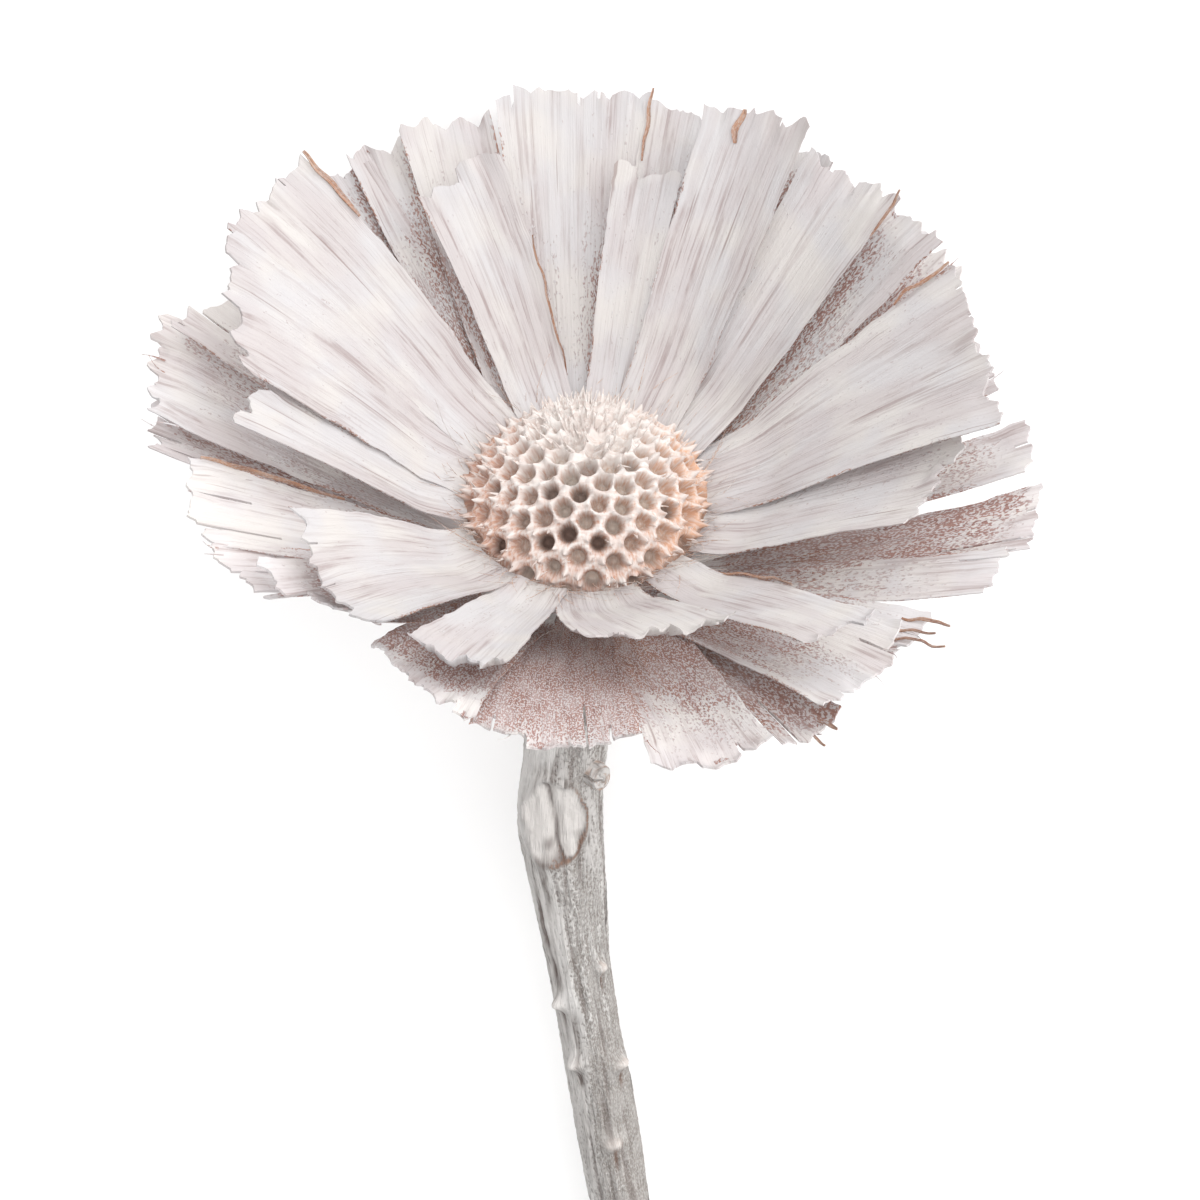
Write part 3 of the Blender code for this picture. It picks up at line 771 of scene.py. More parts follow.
def surface_noises(tree, fibre):
    """The noises that a whitewashed surface is made of, by name."""
    grain = attribute(tree, "grain", "Vector")
    spot = add_node(tree, "ShaderNodeTexCoord", {}).outputs["Object"]
    found = {"broad": noise(tree, scaled(tree, spot, [BROAD / MM] * 3))}
    for name, scale in (("drops", DROPS), ("mist", MIST)):
        found[name] = noise(tree, scaled(tree, grain, (*scale, 1.0)), 1.0)
    for name, (across, along, detail, roughness) in FIBRE_NOISES.items():
        scale = across * fibre[0], along * fibre[1], 1.0
        found[name] = noise(tree, scaled(tree, grain, scale), detail, roughness)
    return found


def swinging(tree, value, swings):
    """A value that each of these noises swings, by so much to both sides."""
    for found, reach in swings:
        value = math_node(tree, "ADD", value, swing(tree, found, reach))
    return value


def coated(tree, surface, coats):
    """A colour under coats of others, each growing as a value goes from start to end, up to its share."""
    for value, start, end, share, coat in coats:
        surface = mix(tree, step(tree, value, start, end, share), surface, coat)
    return surface


def bare_stuff(tree, found, bare, white, specks, thin):
    """The dried stuff where the paint is off: three colours, the finest droplets and a breath of white."""
    tone = swinging(tree, attribute(tree, "tone"), [(found["patchy"], PATCHY_SWING)])
    return coated(tree, mix(tree, tone, bare[0], bare[1]), (
        (found["threads"], 0.42, 0.70, 0.7, bare[2]),
        (found["wash"], 0.45, 0.62, 0.3, white[2]),
        (attribute(tree, "paint"), 0.25, 0.95, thin, white[2]),
        (found["mist"], 0.50, 0.57, 0.6 * specks, white[1]),
    ))


def white_paint(tree, found, bare, white, streaks, streaky):
    """The paint: three whites in patches, with streaks where it is worn down to the fibres, and cracks."""
    surface = coated(tree, white[0], (
        (found["broad"], 0.38, 0.62, 1.0, white[1]),
        (found["cloud"], 0.45, 0.62, 0.7, white[2]),
    ))
    worn = math_node(tree, "MULTIPLY", step(tree, found["wash"], 0.42, 0.60),
                     step(tree, found["cloud"], 0.36, 0.58))
    worn = math_node(tree, "MULTIPLY_ADD", worn, 0.8, 0.2)
    surface = mix(tree, math_node(tree, "MULTIPLY", worn, 0.5), surface, white[2])
    for name, start, end, share in (("lines", 0.48, 0.64, 1.0), ("threads", 0.54, 0.72, 0.9)):
        shown = math_node(tree, "MULTIPLY", worn, step(tree, found[name], start, end, share * streaky))
        surface = mix(tree, shown, surface, streaks)
    return coated(tree, surface, ((found["cracks"], 0.70, 0.78, 0.6 * streaky, bare[2]),))


def new_material(name, roughness):
    """A new material, its nodes and its shader."""
    material = bpy.data.materials.new(name)
    material.use_nodes = True
    shader = material.node_tree.nodes["Principled BSDF"]
    shader.inputs["Roughness"].default_value = roughness
    return material, material.node_tree, shader


def whitewash(name, colours, fibre, light, specks=1.4, fibres=0.5, relief=0.00009, streaky=0.8,
              paint_edge=(0.38, 0.60), thin=0.7):
    """Dried plant stuff under thin white paint: fibres, droplets of paint, bare patches and streaks.

    The colours are three of the bare stuff, three of the paint, one of the streaks and one of the film, as
    they look in the picture, where this share of the full light reaches them. Fibre is the fibres' scale
    across and along. Specks and fibres say how far each breaks the paint up, relief how deep the bumps are
    in metres, and streaky how far worn paint shows its streaks. Stuff is bare below the first and painted
    above the second value of the paint edge, and thin is the most white that is left on it where it is bare.
    """
    # A piece that gets less than the full light has its colours lifted by that share: painted light that
    # makes up for the shade it lies in.
    colours = [under_light(pictured, light * FULL_LIGHT) for pictured in (*colours, DARK_BROWN)]
    bare, white, (streaks, film, dark_and_painted_shade) = colours[:3], colours[3:6], colours[6:]
    material, tree, shader = new_material(name, 0.85)
    found = surface_noises(tree, fibre)
    swings = (found["drops"], specks), (found["lines"], fibres), (found["patchy"], PATCHY_SWING)
    covered = step(tree, swinging(tree, attribute(tree, "paint"), swings), *paint_edge)
    surface = mix(tree, covered, bare_stuff(tree, found, bare, white, specks, thin),
                  white_paint(tree, found, bare, white, streaks, streaky))
    surface = mix(tree, attribute(tree, "film"), surface, film)
    # The depth value mixes in dark brown: painted shade in the bracts' gaps, at the dome's foot and below
    # the stem's leaf scars, and the dark of the pits, the scar's bare wood and the bark's grooves.
    surface = mix(tree, attribute(tree, "depth"), surface, dark_and_painted_shade)
    height = swinging(tree, math_node(tree, "MULTIPLY", covered, PAINT_BUMP),
                      [(found[thing], bump) for thing, bump in BUMPS.items()])
    bump = add_node(tree, "ShaderNodeBump", {"Height": height, "Distance": relief})
    tree.links.new(surface, shader.inputs["Base Color"])
    tree.links.new(bump.outputs["Normal"], shader.inputs["Normal"])
    shader.inputs["Specular IOR Level"].default_value = 0.25
    return material


def spray_ways():
    """Directions that the paint was sprayed from, spread round the flower's axis."""
    ways = [Vector((0.0, 0.0, 1.0))]
    for tilt, count, shift in SPRAY_RINGS:
        slope = math.radians(tilt)
        for number in range(count):
            outward, _ = ring_ways(2.0 * math.pi * (number + shift) / count)
            ways.append(Vector(outward * math.sin(slope) + (0.0, 0.0, math.cos(slope))))
    return ways


def sprayed(tree, points, upward):
    """The share of the paint that reaches each point of a surface past what stands before it."""
    ways = spray_ways()
    reached = np.zeros(len(points))
    starts = points + upward * SPRAY_LIFT
    for way in ways:
        reached += [tree.ray_cast(Vector(start), way, SPRAY_REACH)[0] is None for start in starts]
    return reached / len(ways)


# Each whorl: its piece, node and slot; its bracts, where they leave the head, the seed before their first
# one and their ring of bases; the paint it has out of the spray's sight and how much more in it, and on
# the flower's left and front side; how many ends have long slits; how far roots rise and lips stand up;
# how far the paint differs from place to place, and how dark the painted shade is where other bracts hold
# the spray off
WHORLS = (
    {"name": "inner_bracts_fine", "node": "inner_bracts", "slot": "white_bract",
     "rows": INNER_BRACTS, "root": INNER_ROOT, "seed": INNER_SEED, "collar": INNER_COLLAR,
     "least_paint": 0.90, "more_paint": 0.35, "side_paint": (0.0, 0.0),
     "long_slits": 0.07, "root_rise": 2.8, "lip": 1.1, "uneven": 0.1, "depth": 0.15},
    {"name": "second_bracts_fine", "node": "inner_bracts", "slot": "white_bract",
     "rows": SECOND_BRACTS, "root": SECOND_ROOT, "seed": INNER_SEED + len(INNER_BRACTS), "collar": (),
     "least_paint": -0.1, "more_paint": 1.35, "side_paint": (0.0, 0.0),
     "long_slits": 0.1, "root_rise": 1.0, "lip": 0.0, "uneven": 0.15, "depth": 0.55},
    {"name": "outer_bracts_fine", "node": "outer_bracts", "slot": "pink_bract",
     "rows": OUTER_BRACTS, "root": OUTER_ROOT, "seed": OUTER_SEED, "collar": OUTER_COLLAR,
     "least_paint": -0.1, "more_paint": 1.3, "side_paint": (0.7, -1.0),
     "long_slits": 0.35, "root_rise": 0.0, "lip": 0.5, "uneven": 0.28, "depth": 0.3},
)


def bracts():
    """The three whorls, each painted as far as the spray could reach it, and what came loose from them."""
    colours = MAUVE, ROSE, DARK_MAUVE, WARM_WHITE, COOL_WHITE, MAUVE_WHITE, STREAK, ASH
    tans = RUST, TAN, DARK_MAUVE, CREAM, CREAM, CREAM_ROSE, RUST, ASH
    white = whitewash("white_bract_wash", colours, (1.8, 0.045), 1.0)
    # The outer bracts' colours are lifted as painted light, to make up for the shade that the inner bracts
    # cast on them.
    pink = whitewash("pink_bract_wash", colours, (1.8, 0.06), 0.84, specks=1.25, fibres=0.9)
    tan = whitewash("sliver_wash", tans, (2.0, 0.1), 1.0, specks=0.5)
    whorls = []
    for looks in WHORLS:
        rows = enumerate(looks["rows"], looks["seed"] + 1)
        whorls.append([Bract(row, looks["root"], seed) for seed, row in rows])
    flat = screen_tree(whorls, 0.0)
    raised = screen_tree(whorls, SCREEN_LIFT)
    for whorl, looks in zip(whorls, WHORLS):
        skin = Skin()
        if looks["collar"]:
            ring(skin, looks["collar"])
        for bract in whorl:
            bract.build(skin, flat if whorl is whorls[0] else raised, looks)
        wash = pink if looks["slot"] == "pink_bract" else white
        skin.piece(looks["name"], wash, looks["slot"], (looks["node"],))
    skin = Skin()
    splinters(skin, whorls[2])
    skin.piece("splinters", pink, "pink_bract")
    skin = Skin()
    slivers(skin, whorls)
    skin.piece("slivers", tan, "pink_bract")


def screen_tree(whorls, lift):
    """All bracts as coarse sheets, the inner whorl's lifted, to work out where the spray is held off."""
    points, faces = [], []
    across, along = sheet_grid(SCREEN_LINES, SCREEN_LINES, 0.1)
    sheet = grid_faces(SCREEN_LINES, SCREEN_LINES).reshape(-1, 4)
    for whorl in whorls:
        for bract in whorl:
            middle, upward = bract.frame(across, along, 0.0)
            if whorl is whorls[0]:
                middle = middle + upward * (lift * along)[..., None]
            faces.extend((sheet + len(points)).tolist())
            points.extend(middle.reshape(-1, 3).tolist())
    return BVHTree.FromPolygons(points, faces)


def splinters(skin, whorl):
    """Loose fibres that stand off the ends and sides of the outer bracts."""
    draw = random.Random(SPLINTER_SEED)
    share = np.linspace(0.0, 1.0, 6)[:, None]
    for bract in whorl:
        for _ in range(draw.randint(1, 4)):
            across = draw.choice((-1.0, 1.0)) * draw.uniform(0.85, 1.0)
            along = draw.uniform(0.45, 0.97)
            if draw.random() < 0.5:
                across, along = draw.uniform(-1.0, 1.0), 0.97
            ends = np.array([along - 0.02, along])
            (start, root), (_, upward) = bract.frame(np.full(2, across), ends, 0.0)
            forward = (root - start) / np.linalg.norm(root - start)
            length = draw.uniform(*SPLINTER_LENGTH)
            bend = np.cross(forward, upward) * draw.uniform(-0.5, 0.5) + upward * draw.uniform(-0.3, 0.5)
            path = root + (forward * share + bend * share ** 2) * length
            radii = np.linspace(draw.uniform(*SPLINTER_RADIUS), SPLINTER_TIP, 6)
            tube(skin, path, radii, 4, draw.uniform(0.2, 1.0), draw.uniform(0.0, 1.0))


def slivers(skin, whorls):
    """Bare, tan strips that have come away along the bracts' edges or reach past their ends."""
    for order, (whorl, number, side, start, end, width) in enumerate(SLIVERS):
        bract = whorls[whorl][number]
        across, along = sheet_grid(4, 16, start, end)
        share = (along - start) / (end - start)
        breadth = width / 2 * np.sin(math.pi * (share * 0.8 + 0.1)) ** 0.7
        wander = SLIVER_WANDER * drift(20.0 * along, 1.0, order)
        middle, upward = bract.frame(side + (across * breadth + wander) * 2 / bract.end_width, along, 0.0)
        rise = SLIVER_LIFT + 0.1 * across ** 2 + 0.5 * wander + 0.3 * share ** 4
        middle = middle + upward * rise[..., None]
        half = upward * EDGE_THICKNESS / 2
        grain = stacked(across * breadth, along * bract.length, 3.3 * number)
        tone = 0.3 + 0.7 * share
        skin.add_sheet(middle + half, middle - half, grain, paint=0.2, tone=(tone, tone))


def ring(skin, section, paint=0.3, tone=0.3, sides=72):
    """A closed ring with the given section of radius and height, turned about the flower's axis."""
    radius, height = np.array(section).T
    turn = np.linspace(0.0, 2.0 * math.pi, sides, endpoint=False)[:, None]
    points = stacked(radius * np.cos(turn), radius * np.sin(turn), height)
    faces = grid_faces(sides, len(section), wrap=1).reshape(-1, 4)
    skin.add(points, [faces], stacked(radius * turn, height, 0.0), paint, tone)


def tube(skin, path, radii, sides=5, paint=0.5, tone=0.3):
    """A round strand along a path of points, closed at both ends."""
    path = np.array(path)
    ahead = np.gradient(path, axis=0)
    ahead /= np.linalg.norm(ahead, axis=1, keepdims=True)
    aside = np.cross(ahead, STRAND_SIDE)
    aside /= np.linalg.norm(aside, axis=1, keepdims=True)
    above = np.cross(ahead, aside)
    turn = np.linspace(0.0, 2.0 * math.pi, sides, endpoint=False)[None, :, None]
    spread = aside[:, None] * np.cos(turn) + above[:, None] * np.sin(turn)
    rings = path[:, None] + spread * np.reshape(radii, (-1, 1, 1))
    points = np.concatenate([path[:1], rings.reshape(-1, 3), path[-1:]])
    length = np.linalg.norm(path[-1] - path[0])
    down = np.repeat(np.linspace(0.0, length, len(path)), sides)
    grain = stacked(np.tile(np.arange(sides) * 0.1, len(path)), down, path[0, 0] * 9.7)
    grain = np.concatenate([grain[:1], grain, grain[-1:]])
    skin.add(points, tube_faces(len(path), sides), grain, paint, tone)


def blade(skin, root, forward, upward, length, width, curl, paint, tone):
    """A small papery scale that narrows to a point and curls up towards it."""
    across, along = sheet_grid(4, 6)
    breadth = width / 2 * (1.0 - along) ** 0.8
    lift = curl * length * along ** 2 + 0.3 * breadth * across ** 2
    middle = root + forward * (along * length)[..., None] + upward * lift[..., None]
    middle = middle + np.cross(forward, upward) * (across * breadth)[..., None]
    half = upward * PAPER_THICKNESS / 2
    grain = stacked(across * breadth, along * length, root[0] * 13.1)
    skin.add_sheet(middle + half, middle - half, grain, paint=paint, tone=tone)


def pit_places():
    """The pits' places on the flattened dome, spaced by the golden angle, with a few more past the rim."""
    number = np.arange(PIT_COUNT + SPARE_PITS)
    turn = number * math.pi * (3.0 - math.sqrt(5.0))
    radius = DOME_RADIUS * np.sqrt((number + 0.5) / PIT_COUNT)
    return np.stack([radius * np.cos(turn), radius * np.sin(turn)], axis=1)


def junctions(places):
    """Where the walls between three pits meet, on the flattened dome."""
    found = delaunay_2d_cdt([Vector(place) for place in places], [], [], 0, MM)[2]
    middles = [sum(places[number] for number in three) / 3.0 for three in found if min(three) < PIT_COUNT]
    return np.array([middle * min(1.0, 0.97 * DOME_RADIUS / np.hypot(*middle)) for middle in middles])


def dome_surface(place):
    """Points of the smooth dome over places on the flattened one, and the directions out of it."""
    distance = np.maximum(np.hypot(place[..., 0], place[..., 1]), 0.001)
    share = np.minimum(distance / DOME_RADIUS, 1.0)
    crest = 1.0 - share ** DOME_ROUNDNESS
    height = DOME_HEIGHT * crest ** DOME_SHOULDER - np.maximum(distance - DOME_RADIUS, 0.0)
    steep = DOME_HEIGHT * DOME_SHOULDER * DOME_ROUNDNESS / DOME_RADIUS * share ** (DOME_ROUNDNESS - 1.0)
    steep = np.minimum(steep * np.maximum(crest, 0.02) ** (DOME_SHOULDER - 1.0), 2.2)
    ratio = (np.minimum(distance, DOME_RADIUS) / distance)[..., None]
    outward = place / distance[..., None]
    normal = np.concatenate([outward * steep[..., None], np.ones((*distance.shape, 1))], axis=-1)
    normal /= np.linalg.norm(normal, axis=-1, keepdims=True)
    return np.concatenate([place * ratio, height[..., None]], axis=-1), normal


def even_disc(size):
    """Places spread evenly over the flattened dome, in a square grid whose edge is the rim."""
    line = np.linspace(-1.0, 1.0, size)
    u, v = np.meshgrid(line, line, indexing="ij")
    wide = np.abs(u) > np.abs(v)
    reach = np.where(wide, u, v)
    turn = np.where(wide, math.pi / 4 * v / u, math.pi / 2 - math.pi / 4 * u / v)
    radius = np.linspace(0.0, DOME_RADIUS, 400)
    line = dome_surface(np.stack([radius, 0.0 * radius], axis=1))[0]
    length = np.concatenate([[0.0], np.cumsum(np.linalg.norm(np.diff(line, axis=0), axis=1))])
    radius = np.sign(reach) * np.interp(np.abs(reach) * length[-1], length, radius)
    return np.stack([radius * np.cos(turn), radius * np.sin(turn)], axis=-1)


def fused(place):
    """How far the white fibres close the dome at these places: from 0 to 1."""
    x, y = FUSED_PLACE
    distance = np.hypot(place[..., 0] - x, 0.8 * (place[..., 1] - y))
    return smoothstep(1.4 - distance / FUSED_RADIUS)


def dome(skin):
    """The honeycomb: a pit at each place, walls between them, and a leaning point where walls meet."""
    draw = np.random.default_rng(DOME_SEED)
    flat = even_disc(DOME_GRID).reshape(-1, 2)
    surface, normal = dome_surface(flat)
    share = np.hypot(*flat.T) / DOME_RADIUS
    pits = dome_surface(pit_places())[0]
    distance = np.linalg.norm(surface[:, None] - pits[None], axis=2)
    nearest, near = distance.argmin(axis=1), distance.min(axis=1)
    wall = np.partition(distance, 1, axis=1)[:, 1] - near
    radius = (PIT_RADIUS * draw.uniform(*PIT_SPREAD, len(pits)))[nearest]
    hole = smoothstep((radius + 0.5 * PIT_WALL - near) / (1.2 * PIT_WALL))
    inner = smoothstep((1.0 - share) / 0.03)
    cup = PIT_CUP * np.cos(np.minimum(near / radius, 1.0) * math.pi)
    relief = (dome_relief(flat, share, wall) + hole * (cup - pit_depth(flat, share))) * inner
    peak = dome_points(surface, share, draw) * (1.0 - hole) * inner
    outward = np.concatenate([flat / np.maximum(np.hypot(*flat.T), 0.1)[:, None], 0.0 * flat[:, :1]], axis=1)
    points = surface + normal * (relief + peak)[:, None] + outward * (peak * share * POINT_LEAN)[:, None]
    faces = grid_faces(DOME_GRID, DOME_GRID).reshape(-1, 4)
    looks = dome_looks(flat, share, hole, wall, peak, nearest, draw)
    skin.add(points, [faces], stacked(*flat.T, 0.0), **looks)


def dome_relief(flat, share, wall):
    """How far the walls stand off the smooth dome, and how rough it is."""
    rough = layer(*flat.T, DOME_ROUGHNESS, 11) * (1.0 + 3.0 * fused(flat))
    return WALL_CREST * np.exp(-(wall / 0.8) ** 2) - WALL_SINK + rough


def pit_depth(flat, share):
    """How deep the pits are: less at the rim, and where fibres fill them."""
    shallow = (1.0 - RIM_PIT_SHARE) * share ** RIM_SHARPNESS
    return PIT_DEPTH * (1.0 - shallow) * (1.0 - FUSED_FILL * fused(flat))


def dome_points(surface, share, draw):
    """How tall the points are that stand where walls meet."""
    joints = dome_surface(junctions(pit_places()))[0]
    reach = np.linalg.norm(surface[:, None] - joints[None], axis=2)
    tall = POINT_HEIGHT + (RIM_POINT_HEIGHT - POINT_HEIGHT) * share ** RIM_SHARPNESS
    tall = tall * draw.uniform(*POINT_SPREAD, len(joints))[reach.argmin(axis=1)]
    return tall * np.maximum(1.0 - reach.min(axis=1) / POINT_REACH, 0.0) ** 1.5


def dome_looks(flat, share, hole, wall, peak, nearest, draw):
    """The dome's paint, how tan it is, how dark its pits and rim are, and the film on the pits' floors."""
    pits = pit_places()
    darkness = np.where(draw.random(len(pits)) < DARK_PITS, 1.0, draw.uniform(*PIT_DARKNESS, len(pits)))
    darkness = darkness * np.clip(0.6 - pits[:, 1] / 11.0, 0.1, 1.3)
    dark_and_painted_shade = 0.7 * hole ** 1.5 * darkness[nearest] * (1.0 - 0.8 * fused(flat))
    # A dark line round the dome's foot: partly painted shadow where the dome meets the bracts, partly the
    # brown of the bristles there.
    dark_and_painted_shade = dark_and_painted_shade + 0.4 * smoothstep((share - 0.955) / 0.03)
    side = smoothstep((np.abs(flat[:, 0]) - 5.0) / 9.0)
    paint = weighed(DOME_PAINT, pit=hole, side=side, front=smoothstep(-flat[:, 1] / 10.0), rim=share ** 8,
                    fused=fused(flat), point=np.minimum(peak, 0.6), wall=np.exp(-(wall / 0.35) ** 2))
    film = hole ** 2 * draw.uniform(*PIT_FILM, len(pits))[nearest] * (1.0 - 0.7 * side) * (1.0 - fused(flat))
    return {"paint": paint, "tone": tan_share(flat), "depth": dark_and_painted_shade, "film": film}


def tan_share(place):
    """How tan the bare dome is: most on its right and back right, least on its left."""
    x, y = place[..., 0], place[..., 1]
    return np.clip(0.25 + x / 20.0 + y / 50.0, 0.0, 1.0)


def cone(skin):
    """The woody cone under the dome, closed at its bottom."""
    ring(skin, ((0.01, 2.0), *CONE_PROFILE, (0.01, -24.0))[::-1])


def papery_scales(skin):
    """Pointed papery scales that stand on the walls of the dome, most of them at its back and its rim."""
    draw = random.Random(PAPER_SEED)
    pits = pit_places()
    for _ in range(PAPER_TRIES):
        outward, _ = ring_ways(draw.uniform(0.0, 2.0 * math.pi))
        share = math.sqrt(draw.uniform(0.0, 1.0))
        place = outward[:2] * share * 0.985 * DOME_RADIUS
        back = fused(place)
        gap = np.hypot(*(pits - place).T).min()
        if draw.random() > 0.10 + 0.9 * back + share ** 6 or gap < PIT_RADIUS * (1.0 - back):
            continue
        root, normal = dome_surface(place)
        tip = normal + outward * draw.uniform(0.1, 0.9)
        tip = tip + [draw.uniform(-0.4, 0.4) for _ in range(3)]
        tip /= np.linalg.norm(tip)
        upward = np.cross(np.cross(tip, normal + 0.01 * outward), tip)
        upward /= max(np.linalg.norm(upward), 0.01)
        length = draw.uniform(*PAPER_LENGTH) + 1.3 * back * draw.random()
        blade(skin, root - normal * 0.5, tip, upward, length, draw.uniform(*PAPER_WIDTH),
              draw.uniform(-0.2, 0.3), 0.75 + 0.4 * back, float(tan_share(place)))


def bristles(skin):
    """Fine pale and brown bristles round the foot of the dome, lying out over the bracts."""
    draw = random.Random(BRISTLE_SEED)
    share = np.linspace(0.0, 1.0, 5)[:, None]
    for _ in range(BRISTLE_COUNT):
        outward, sideways = ring_ways(draw.uniform(0.0, 2.0 * math.pi))
        root = outward * draw.uniform(*BRISTLE_FOOT) + (0.0, 0.0, draw.uniform(*BRISTLE_HEIGHT))
        length = draw.uniform(*(BRISTLE_LENGTH if draw.random() < 1.0 - LONG_SHARE else LONG_BRISTLE))
        bend = sideways * draw.uniform(-0.9, 0.9)
        forward = outward + (0.0, 0.0, draw.uniform(0.55, 1.1))
        path = root + (forward * share + bend * share ** 2) * length
        pale = draw.uniform(0.0, 0.3) if draw.random() < 0.5 else draw.uniform(0.6, 1.0)
        tube(skin, path, np.linspace(*BRISTLE_RADII, 5), 3, pale, draw.uniform(0.2, 0.9))


def stem_line():
    """How far along each ring of the stem is, its place, and the stem's direction there."""
    marks = np.arange(round(STEM_LENGTH / STEM_PACE) + 1) * STEM_PACE
    start, end = STEM_SWAY
    bend = math.radians(STEM_BEND) * smoothstep(marks / STEM_BEND_LENGTH)
    sway = np.radians(start + (end - start) * smoothstep(marks / STEM_SWAY_LENGTH))
    steps = STEM_PACE * stacked(np.sin(sway), -np.sin(bend) * np.cos(sway), -np.cos(bend) * np.cos(sway))
    places = np.cumsum(np.concatenate([[STEM_TOP], steps[:-1]]), axis=0)
    along = np.linspace(0.0, STEM_LENGTH, STEM_RINGS)
    line = np.stack([np.interp(along, marks, axis) for axis in places.T], axis=1)
    window = np.ones(2 * SMOOTH_RINGS + 1) / (2 * SMOOTH_RINGS + 1)
    padded = np.pad(line, ((SMOOTH_RINGS, SMOOTH_RINGS), (0, 0)), "edge")
    ahead = np.gradient(np.stack([np.convolve(axis, window, "valid") for axis in padded.T], axis=1), axis=0)
    ahead /= np.linalg.norm(ahead, axis=1, keepdims=True)
    ahead[0] = (0.0, 0.0, -1.0)
    return along, line, ahead


def off_angle(turn, middle):
    """How far round the stem an angle lies from a middle one, in degrees."""
    return (np.degrees(turn) - middle + 180.0) % 360.0 - 180.0


def hump(x, y):
    """A smooth round hump over the middle of a plane."""
    return np.exp(-x ** 2 - y ** 2)


def stem_radius(along, angle):
    """The stem's radius, with its bumps and swellings, as in the part."""
    radius = np.interp(along, *zip(*STEM_RADII)) + 0.0 * angle
    for height, turns, pace in BARK_BUMPS:
        radius = radius + height * np.sin(turns * angle + pace * along)
    for place, middle, height, reach, half_angle in SWELLINGS:
        radius = radius + height * hump((along - place) / reach, off_angle(angle, middle) / half_angle)
    return radius


def stem_axes(ahead):
    """Two directions across the stem: the first near +X, the second near -Y, which lies uppermost."""
    first = np.array([1.0, 0.0, 0.0]) - ahead * ahead[:, :1]
    first /= np.linalg.norm(first, axis=1, keepdims=True)
    return first, np.cross(ahead, first)


def knot_scar(down, turn):
    """The oval scar of a lost branch: how high it stands, how far inside it places lie, and its brown."""
    along, middle, length, width = OVAL_SCAR
    across, reach_down = off_angle(turn, middle) / width, (down - along) / length
    reach = np.hypot(across, reach_down) + 0.1 * patches(4.0 * across, down, 1.5, 2.5, 46)
    inside = smoothstep((1.02 - reach) / 0.16)
    fold = 1.9 * across + 0.10 * (down - along) + 0.25 * patches(across, down, 1.0, 3.0, 47)
    valley = np.minimum(1.6 * np.abs(np.sin(fold)), 1.0)
    folds = 0.9 * valley - 0.9 + 0.14 * patches(across * 3.0, down, 0.5, 3.0, 45)
    low_right = smoothstep(0.5 - 0.6 * across + 0.5 * reach_down)
    low = smoothstep(reach_down - 0.45 + 0.9 * patches(3.0 * across, down, 1.1, 1.4, 49))
    rim = smoothstep(1.0 - abs(reach - 0.97) / 0.1) * low_right
    brown = np.clip((smoothstep(1.3 - 3.5 * valley) + low) * inside + rim, 0.0, 1.0)
    brown = brown * smoothstep(0.75 + 0.6 * patches(turn * BARK_RADIUS, down, 1.6, 2.6, 48))
    return 0.5 * np.exp(-((reach - 1.0) / 0.15) ** 2) + inside * folds, inside, brown


def bark_relief(down, turn):
    """The bark's lengthwise grooves, and the height of its ridges, plates and slanting folds together."""
    x, y = BARK_RADIUS * np.cos(turn), BARK_RADIUS * np.sin(turn)
    groove = patches(x + 0.11 * y, y + 0.06 * down, 0.5, 0.5, 41)
    bark = 0.18 * groove + 0.15 * smoothstep(0.5 + 3.0 * patches(x, y + 0.24 * down, 1.3, 1.3, 42))
    return groove, bark + 0.05 * patches(x + 0.7 * down, y + 0.7 * down, 0.4, 0.4, 43)


def bark_marks(down, turn):
    """The slits at the bark's left edge, a dent below each leaf scar that is darkened as painted shadow, and
    the scars that leaves have left.
    """
    slits_and_painted_shadows, scars = np.zeros((2, *down.shape))
    for spot, middle, _, reach, half_angle in LEAF_SCARS:
        off = off_angle(turn, middle)
        # Below each leaf scar: a shallow dent, darkened as painted shadow under the scar's bump.
        slits_and_painted_shadows += 0.7 * hump((down - spot - 1.6 * reach) / (1.1 * reach), off / 4.0)
        scars += hump((down - spot) / (0.6 * reach), off / (0.5 * half_angle))
    for spot, middle, reach in EDGE_SLITS:
        slits_and_painted_shadows += hump((down - spot) / reach, off_angle(turn, middle) / 8.0)
    return slits_and_painted_shadows, scars


